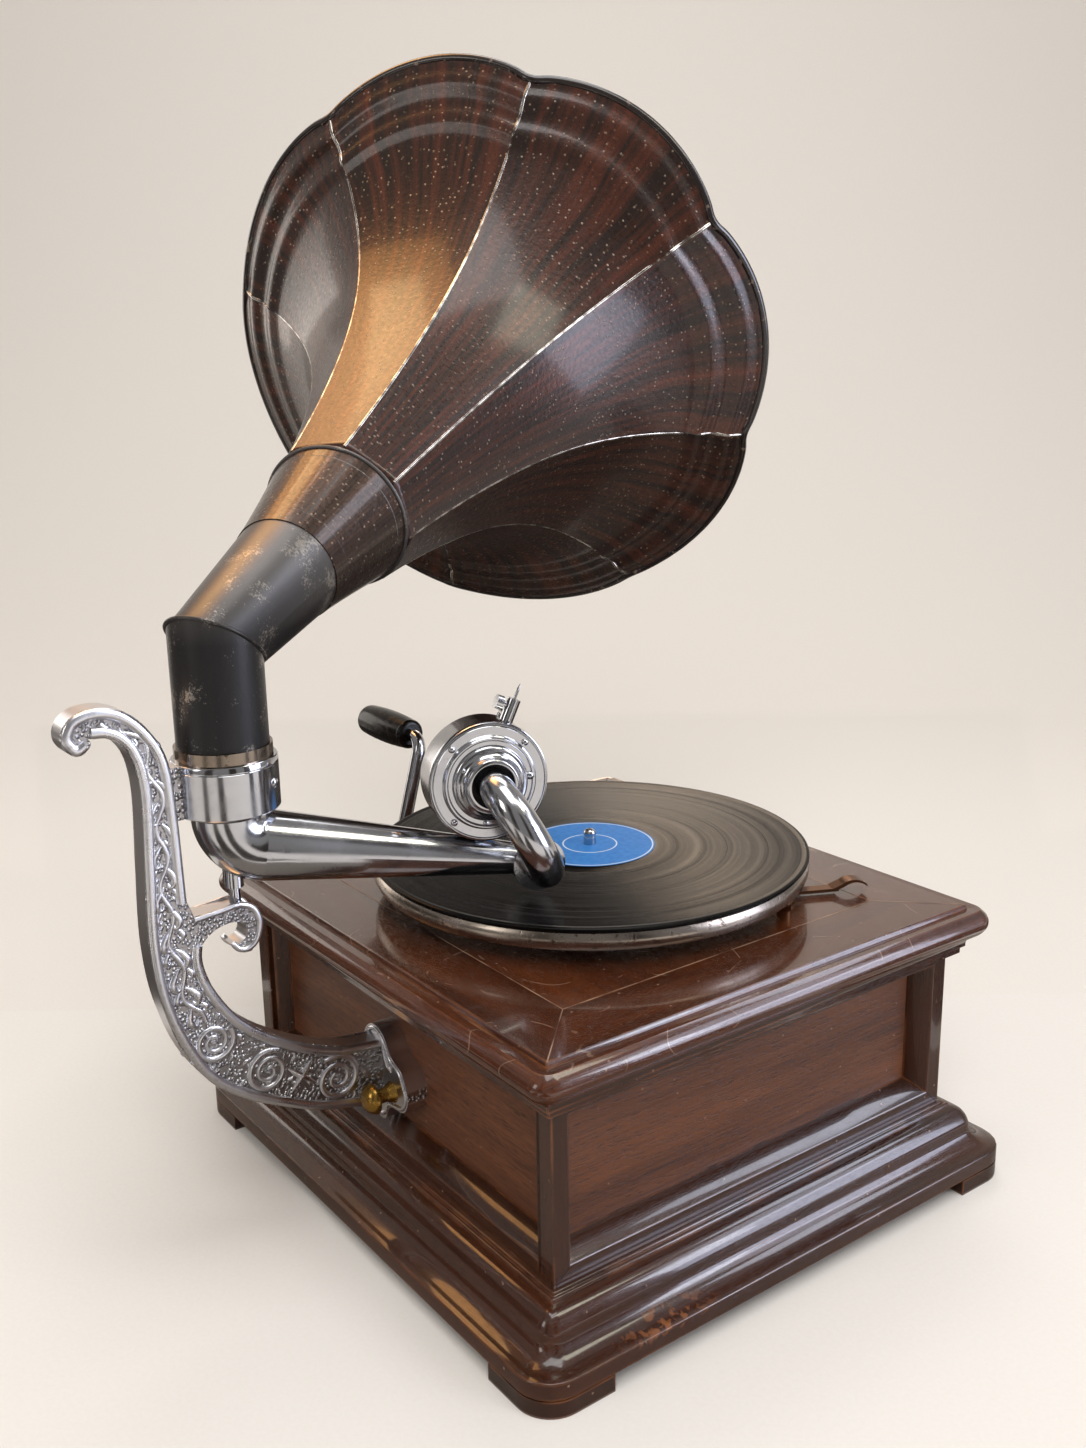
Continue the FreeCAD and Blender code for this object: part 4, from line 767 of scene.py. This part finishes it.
strokes = []
for edge in (back_edge, hook_edge, inner_edge):
    inset = [at + left_of(way) * edge_inset for at, way in along(edge, 3 * len(edge))]
    strokes.append((inset, [edge_round] * len(inset)))
strokes.append((ledge_edge, [ledge_round] * len(ledge_edge)))
stem = along(stem_line, 33)
waved = [at + left_of(way) * stem_wave * math.sin(wave_turn * i) for i, (at, way) in enumerate(stem)]
strokes.append((waved, [stem_round] * len(waved)))
leaf = [(-1.0, 0.5, 0.7), (2.6, 3.4, 1.8), (7.0, 5.0, 2.1), (9.4, 2.8, 1.4), (7.2, 1.4, 0.8)]
for i in range(2, 31, 2):
    at, way = stem[i]
    side = 1 if i % 4 else -1
    across = left_of(way) * side
    strokes.append(([at + (way * a + across * b) * mm for a, b, r in leaf], [r * mm for a, b, r in leaf]))
    small = [at - across * leaf_gap + (way * 0.55 * a - across * 0.6 * b) * mm for a, b, r in leaf]
    strokes.append((small, [0.75 * r * mm for a, b, r in leaf]))
scrolls = [((19.0, -67.5), 10.5, 150, 1), ((-8.4, -92.7), 11.5, 120, -1), ((-46.6, -109.5), 13.0, 60, 1)]
for (y, z), size, start, turn in scrolls:
    centre = side_points([(y, z)])[0]
    curl = []
    for i in range(curl_steps):
        reach = size * mm * (1 - i / (curl_steps + 1)) ** 0.85
        curl.append(centre + heading(start + turn * i * curl_turn) * reach)
    strokes.append((curl, [(1.9 - 0.04 * i) * mm for i in range(curl_steps)]))
    strokes.append(([centre + Vector((0, 0.4 * mm)), centre - Vector((0, 0.4 * mm))], [1.8 * mm] * 2))
    for k in range(petals):
        spoke = heading(start + turn * (30 + petal_turn * k))
        bend = left_of(spoke) * turn
        petal = [centre + spoke * (size + 1.6) * mm, centre + (spoke * (size + 3.4) + bend * 1.5) * mm,
                 centre + (spoke * (size + 3.6) + bend * 4.0) * mm]
        strokes.append((petal, [0.6 * mm, 1.2 * mm, 0.4 * mm]))
star = side_points([(-26.6, -101.5)])[0]
for k in range(4):
    ray = heading(40 + 90 * k)
    strokes.append(([star, star + ray * 5 * mm, star + ray * 10 * mm], [2.6 * mm, 1.6 * mm, 0.3 * mm]))

bm = bmesh.new()
for points, radii in strokes:
    tube(bm, [(0, at.x, at.y) for at in points], radii)
bmesh.ops.scale(bm, vec=(relief_depth, 1, 1), verts=bm.verts[:])
far = bmesh.ops.duplicate(bm, geom=bm.verts[:] + bm.edges[:] + bm.faces[:])["geom"]
far = {item for item in far if isinstance(item, bmesh.types.BMVert)}
bmesh.ops.translate(bm, vec=(column.x + bracket_half, 0, 0), verts=list(far))
bmesh.ops.translate(bm, vec=(column.x - bracket_half, 0, 0), verts=[v for v in bm.verts if v not in far])
foot_face = 138 * mm
border_round = 1.3 * mm
plate = [(0, 111.5), (6, 109.5), (11, 104.5), (15, 98.5), (24, 94.5), (27.5, 89), (29.2, 81), (26, 75),
         (18, 73), (11, 71), (7, 64.5), (0, 62)]
border = plate + [(-x, z) for x, z in plate[-2:0:-1]]
tube(bm, [(column.x + x * mm, foot_face, z * mm) for x, z in border], [border_round] * len(border), True)
plate_leaf = [(7.6, 108), (9.5, 101), (13, 94), (15, 91.5)]
for s in (-1, 1):
    tube(bm, [(column.x + s * x * mm, foot_face, z * mm) for x, z in plate_leaf],
         [0.6 * mm, 1.9 * mm, 2.0 * mm, 0.5 * mm])
relief_nickel = nickel("nickel_relief", "#e2e2e6", 0.24, 0.22)
add_piece("bracket_relief", bm, relief_nickel, "case", "cast_nickel", sharp=60)

# Ground of the casting: plated nickel over dimples of 2 mm, on the two flat sides alone.
cast, tree, shader, place = new_material("nickel_cast_ground")
grain = add(tree, "TexVoronoi", {"Vector": place, "Scale": 520.0})
facing = add(tree, "SeparateXYZ", {"Vector": add(tree, "TexCoord", {}, "Normal")})
facing = add(tree, "Math", {0: facing}, operation="ABSOLUTE")
ground = add(tree, "MapRange", (facing, 0.97, 0.995))
pit = add(tree, "MapRange", (grain, 0.15, 0.6))
pit = add(tree, "Math", (pit, ground), operation="MULTIPLY")
shade = add(tree, "Mix", {0: pit, 6: "#dcdbde", 7: "#aeabac"}, data_type="RGBA")
bump = add(tree, "Bump", {"Height": pit, "Strength": 0.9, "Distance": 1.2 * mm}, invert=True)
feed(shader, {"Base Color": shade, "Normal": bump, "Metallic": 1.0, "Roughness": 0.3})
dress(cast, "horn_bracket")

# Collar: a turned and plated ring on the bracket that holds the horn, with a set screw in its side.
# The pivot pin and the horn's ferrule are plated as well, and the thumb screws are brass.
collar_low = 252.5 * mm
screw_height = 266 * mm
screw_seat = 25.3 * mm
screw_turn = 219
bm = bmesh.new()
lathe(bm, (column.x, column.y, collar_low), (0, 0, 1),
      [(21.5, 0), (24.8, 0), (25.5, 0.7), (25.5, 22.2), (25.2, 22.5), (25.5, 22.8), (25.5, 25.2),
       (24.9, 26), (21.5, 26)])
screw_way = heading(screw_turn).to_3d()
lathe(bm, Vector((column.x, column.y, screw_height)) + screw_way * screw_seat, screw_way,
      [(0, 1.5), (1.6, 1.4), (2.4, 0.8), (2.6, 0)], False, 20)
add_piece("collar_ring", bm, bright_nickel, "case", "nickel", "horn_collar")
dress(bright_nickel, "pivot_pin")
dress(brass, "thumb_screw_left", "thumb_screw_right")
dress(nickel("nickel_ferrule", "#8f8377", 0.16, 0.6), "elbow_ferrule")

# Tone arm, gooseneck and sound box: drawn and spun brass with a bright nickel plate.
dress(bright_nickel, "tone_arm", "gooseneck", "sound_box_shell", "stylus_bar", "needle_screw", "needle")
arm_turn = math.radians(18.1)
arm_way = Vector((-math.sin(arm_turn), -math.cos(arm_turn), 0))
box_way = Vector((-math.cos(arm_turn), math.sin(arm_turn), 0))
box = Vector((-32.02, 89.55, 252.86)) * mm
bm = bmesh.new()
lathe(bm, box, box_way,
      [(11.2, 7), (31.2, 7), (31.2, 9), (30.9, 9.7), (30.2, 10), (29.7, 10), (29.3, 9.6), (28.9, 10),
       (24.7, 10), (24.3, 10.4), (24.0, 11.3), (23.4, 12.0), (22.7, 12.1), (22.1, 11.8), (21.8, 11.3),
       (19.9, 11.3), (19.6, 12.3), (19.1, 13.2), (18.4, 13.6), (17.6, 13.4), (17.0, 13.1), (15.6, 13.8),
       (14.6, 15), (13.9, 16.6), (13.6, 17.6), (13, 18), (11.6, 18), (11.2, 17.6)], steps=96)
add_piece("sound_box_cover", bm, bright_nickel, "gooseneck", "nickel", "sound_box_back")
stud_sunk = 0.2
bm = bmesh.new()
for turn, radius, height, size in ((45, 27, 10, 1), (135, 27, 10, 1), (225, 27, 10, 1), (315, 27, 10, 1),
                                   (150, 16.4, 13.2, 0.8), (5, 21, 11.3, 1.2), (262, 21, 11.3, 0.8)):
    place = arm_way * math.cos(math.radians(turn)) + Vector((0, 0, math.sin(math.radians(turn))))
    lathe(bm, box + place * radius * mm + box_way * (height - stud_sunk) * mm, box_way,
          [(0, 1.9 * size), (0.9 * size, 1.8 * size), (1.6 * size, 1.2 * size), (1.9 * size, 0)], False, 20)
add_piece("sound_box_studs", bm, bright_nickel, "gooseneck", "nickel", "sound_box_screws")

# Diaphragm: a sheet of pale brown mica with a soft shine, in flakes of 6 mm.
mica, tree, shader, place = new_material("mica_sheet")
flake = add(tree, "TexVoronoi", {"Vector": place, "Scale": 160.0})
shade = add(tree, "Mix", {0: flake, 6: "#c3b493", 7: "#8f7d5e"}, data_type="RGBA")
feed(shader, {"Base Color": shade, "Roughness": 0.22, "Coat Weight": 0.4})
dress(mica, "diaphragm")

# Horn: eight lobed sheet panels joined by folded seams, spun with two ridges near the mouth and
# wired at the rim. It is painted to look like rosewood and varnished; the varnish has blistered.
root = Vector((8, 212, 333)) * mm
swing = math.radians(34.8)
rise = math.radians(18.7)
horn_axis = Vector((math.cos(rise) * math.sin(swing), -math.cos(rise) * math.cos(swing), math.sin(rise)))
horn_level = Vector((math.cos(swing), math.sin(swing), 0))
horn_up = horn_axis.cross(horn_level)
neck_at = 139 * mm
neck_radius = 41 * mm
horn_length = 390 * mm
mouth_radius = 182.4 * mm
panels = 8
first_seam = math.radians(17.1)
lobe_bulge = 6.5 * mm
lobe_reach = 12 * mm
sheet = 1.4 * mm
ridge_height = 2.4 * mm
ridge_half = 8.5 * mm
ridge_shares = (0.975, 0.93)
flatness = 0.8


def seam_radius(share):
    """Radius at the seams, from the neck ring (0) to the mouth (1)."""
    flare = 0.30 * share + 0.285 * share ** 2 + 0.415 * share ** 6
    return neck_radius + (mouth_radius - neck_radius) * flare


def on_horn(angle, s, radius):
    """Point at an angle about the axis, a distance along it from the elbow and a radius from it."""
    centre = root + horn_axis * s
    return centre + horn_level * (radius * math.cos(angle)) + horn_up * (radius * math.sin(angle))


def horn_point(angle, share, proud=0.0):
    """Point of the panels' outer face at an angle about the axis and a share of the way to the mouth."""
    lobe = ((angle - first_seam) / (math.tau / panels)) % 1
    middle = 1 - (2 * lobe - 1) ** 2
    swell = middle * share ** 4
    sag = seam_radius(share) * (1 - math.cos(math.pi / panels)) * flatness * middle * (1 - share ** 3)
    step = 0.002
    slope = (seam_radius(share + step) - seam_radius(share - step)) / (2 * step * (horn_length - neck_at))
    lean = Vector((-slope, 1)).normalized()
    lift = proud
    for ridge_share in ridge_shares:
        away = (share - ridge_share) * (horn_length - neck_at) * math.hypot(1, slope) / ridge_half
        if abs(away) < 1:
            lift += ridge_height * math.cos(away * math.pi / 2) ** 2
    s = neck_at + (horn_length - neck_at) * share + lobe_reach * swell + lean.x * lift
    radius = seam_radius(share) + lobe_bulge * swell - sag + lean.y * lift
    return on_horn(angle, s, radius)


horn_steps = 128
stations = 72
bm = bmesh.new()
line = []
for i in range(stations + 1):
    share = 1 - (1 - i / stations) ** 1.5
    line.append(bm.verts.new((1.0, 0.0, share)))
edges = [bm.edges.new(pair) for pair in zip(line, line[1:])]
bmesh.ops.rotate(bm, verts=line, matrix=Matrix.Rotation(first_seam, 3, "Z"))
bmesh.ops.spin(bm, geom=line + edges, cent=(0, 0, 0), axis=(0, 0, 1), angle=math.tau, steps=horn_steps,
               use_merge=True)


def lay_paint(bm, length):
    """Paint map: the angle about the horn's axis, and the share of the bell's length along it."""
    def find(centre, at):
        turn = math.atan2(centre.y, centre.x)
        angle = math.atan2(at.y, at.x)
        return angle + math.tau * round((turn - angle) / math.tau), at.z / length
    lay_map(bm, "lay", find)


lay_paint(bm, 1.0)
for edge in bm.edges:
    turns = [(math.atan2(v.co.y, v.co.x) - first_seam) / (math.tau / panels) for v in edge.verts]
    edge.smooth = not all(abs(turn - round(turn)) < 0.01 for turn in turns)
for face in bm.faces:
    face.smooth = True
for vert in bm.verts:
    vert.co = horn_point(math.atan2(vert.co.y, vert.co.x), vert.co.z)
bmesh.ops.recalc_face_normals(bm, faces=bm.faces[:])
bmesh.ops.solidify(bm, geom=bm.faces[:], thickness=sheet)


def horn_paint(name, ground, streak, metal):
    """Imitation rosewood: red streaks along the panels over a dark ground, under varnish with blisters.

    Flecks of 2.4 mm and blisters of 3 mm are drawn larger than real ones so that they show. Some
    blisters are painted pale at their middles: a painted glint.
    """
    material, tree, shader, place = new_material(name)
    lay = add(tree, "UVMap", {}, uv_map="lay")
    wobble = add(tree, "TexNoise", {"Vector": place, "Scale": 9.0}, "Color")
    shift = add(tree, "VectorMath", (wobble, (0.12, 0.0, 0.0)), operation="MULTIPLY")
    bent = add(tree, "VectorMath", (lay, shift), operation="ADD")
    streak_lay = add(tree, "Mapping", {"Vector": bent, "Scale": (22.0, 2.6, 1.0)})
    streaks = add(tree, "TexNoise", {"Vector": streak_lay, "Scale": 1.0, "Detail": 5.0, "Roughness": 0.62})
    red = add(tree, "MapRange", (streaks, 0.42, 0.72, 0, 0.8))
    base = add(tree, "Mix", {0: red, 6: ground, 7: streak}, data_type="RGBA")
    fleck = add(tree, "TexNoise", {"Vector": place, "Scale": 420.0})
    dark = add(tree, "MapRange", (fleck, 0.5, 0.72, 0, 0.5))
    base = add(tree, "Mix", {0: dark, 6: base, 7: "#120b08"}, data_type="RGBA")
    cells = add(tree, "TexVoronoi", {"Vector": place, "Scale": 330.0})
    blister = add(tree, "MapRange", (cells, 0.3, 0.05))
    pick = add(tree, "SeparateColor", {"Color": cells.node.outputs["Color"]})
    some = add(tree, "MapRange", (pick, 0.45, 0.95))
    blister = add(tree, "Math", (blister, some), operation="MULTIPLY")
    # Painted glint: the blisters' middles are mixed towards a pale tan.
    blister_painted_glint = add(tree, "Math", (blister, 0.75), operation="MULTIPLY")
    base = add(tree, "Mix", {0: blister_painted_glint, 6: base, 7: "#a08a74"}, data_type="RGBA")
    peel = add(tree, "TexNoise", {"Vector": place, "Scale": 330.0})
    height = add(tree, "Math", (blister, 1.6), operation="MULTIPLY")
    height = add(tree, "Math", (height, peel), operation="ADD")
    bump = add(tree, "Bump", {"Height": height, "Strength": 0.4, "Distance": 0.6 * mm})
    haze = add(tree, "MapRange", (fleck, 0.3, 0.7, 0.26, 0.4))
    feed(shader, {"Base Color": base, "Normal": bump, "Roughness": haze, "Metallic": metal,
                  "Specular IOR Level": 0.4, "Coat Weight": 0.4, "Coat Roughness": 0.12})
    return material


rosewood = horn_paint("horn_rosewood_paint", "#251812", "#60301f", 0.25)
add_piece("horn_bell", bm, rosewood, "horn", "horn_paint", "horn_panels", sharp=0)

# Seams and rim: the panels' edges are folded over each other, and the mouth is rolled over a wire.
# The seams are rubbed to bare metal; the rim keeps its dark paint, worn in spots.
seam_round = 1.3 * mm
seam_proud = 0.3 * mm
seam_steps = 48
rim_round = 2.9 * mm
rim_sunk = 0.4 * mm
rim_steps = 96
bm = bmesh.new()
for k in range(panels):
    angle = first_seam + math.tau * k / panels
    shares = [0.004 + 0.992 * i / (seam_steps - 1) for i in range(seam_steps)]
    tube(bm, [horn_point(angle, share, seam_proud) for share in shares], [seam_round] * len(shares))
rubbed = mottled("seam_rubbed_paint", "#6f665f", "#c4beb6", 120.0, 3.0, 0.24, (0.4, 0.6), metal=0.9)
add_piece("horn_seams", bm, rubbed, "horn", "horn_paint")

rim_paint = mottled("rim_dark_paint", "#1c1310", "#7d6a5c", 160.0, 4.0, 0.25, (0.62, 0.7), 0.7, coat=0.5)
bm = bmesh.new()
around = [horn_point(math.tau * i / rim_steps + first_seam, 1.0, -rim_sunk) for i in range(rim_steps)]
tube(bm, around, [rim_round] * len(around), True)
add_piece("horn_rolled_rim", bm, rim_paint, "horn", "rim_paint", "horn_rim")

# Elbow: two mitred lengths of sheet pipe with a bead over the joint, and a cone with rolled hoops.
# Its black paint is chipped and scratched through to grey metal.
black_paint, tree, shader, place = new_material("elbow_black_paint")
chip = add(tree, "TexNoise", {"Vector": place, "Scale": 700.0, "Detail": 4.0, "Roughness": 0.75})
where = add(tree, "TexNoise", {"Vector": place, "Scale": 60.0, "Detail": 3.0})
chip = add(tree, "Math", (chip, where), operation="ADD")
bare = add(tree, "MapRange", (chip, 1.13, 1.25, 0, 0.6))
height = add(tree, "SeparateXYZ", {"Vector": place}, "Z")
cone = add(tree, "MapRange", (height, 335 * mm, 365 * mm))
paint = add(tree, "Mix", {0: cone, 6: "#2c2b2c", 7: "#5c5958"}, data_type="RGBA")
cover = add(tree, "Mix", {0: bare, 6: paint, 7: "#a39b90"}, data_type="RGBA")
bump = add(tree, "Bump", {"Height": chip, "Strength": 0.25, "Distance": 0.4 * mm})
feed(shader, {"Base Color": cover, "Metallic": 0.6, "Roughness": 0.34, "Normal": bump})
dress(black_paint, "horn_elbow")
mitre = (horn_axis + Vector((0, 0, 1))).normalized()
elbow_radius = 22 * mm
bead_round = 1.0 * mm
bead_proud = 0.2 * mm
hoop_steps = 40
bm = bmesh.new()
bead = []
for i in range(hoop_steps):
    turn = math.tau * i / hoop_steps
    across = Vector((math.cos(turn), math.sin(turn), 0)) * (elbow_radius + bead_proud)
    bead.append(root + across - Vector((0, 0, across.dot(mitre) / mitre.z)))
tube(bm, bead, [bead_round] * len(bead), True)
cone_end = 86 * mm
cone_radius = 29.5 * mm
for s, grow, thick in ((cone_end - 1.2 * mm, 0.1 * mm, 1.0 * mm),
                       (neck_at - 1.5 * mm, 11.4 * mm, 1.1 * mm), (neck_at - 9 * mm, 9.1 * mm, 0.6 * mm),
                       (neck_at - 15 * mm, 7.7 * mm, 0.5 * mm), (neck_at - 19 * mm, 6.8 * mm, 0.5 * mm)):
    hoop = [on_horn(math.tau * i / hoop_steps, s, cone_radius + grow) for i in range(hoop_steps)]
    tube(bm, hoop, [thick] * len(hoop), True)
add_piece("elbow_beads", bm, black_paint, "horn", "black_paint")

# Throat: a flaring cone of sheet that joins the elbow to the bell, in the bell's paint rubbed thin.
throat_radius = 29.0
throat_grows = 12.0
throat_from = 74
throat_long = 65
throat_sheet = 1.2
shares = [i / 12 for i in range(13)]
bm = bmesh.new()
neck_line = [(throat_radius + throat_grows * share ** 1.12, throat_from + throat_long * share)
             for share in shares]
inside = [(r - throat_sheet, s) for r, s in reversed(neck_line)]
lathe(bm, (0, 0, 0), (0, 0, 1), neck_line + inside, steps=72)
lay_paint(bm, horn_length - neck_at)
bmesh.ops.transform(bm, verts=bm.verts[:], matrix=Matrix.Translation(root)
                    @ Matrix((horn_level, horn_up, horn_axis)).transposed().to_4x4())
bmesh.ops.recalc_face_normals(bm, faces=bm.faces[:])
throat_paint = horn_paint("horn_rubbed_paint", "#2f231c", "#5b4031", 0.6)
add_piece("horn_throat", bm, throat_paint, "horn", "horn_paint", "horn_neck")

# Brake: a browned lever that swings on a post in the lid and stops the turntable's rim.
dress(nickel("bronze_brown", "#6b4a33", 0.34, 0.5), "brake_lever", "brake_post")
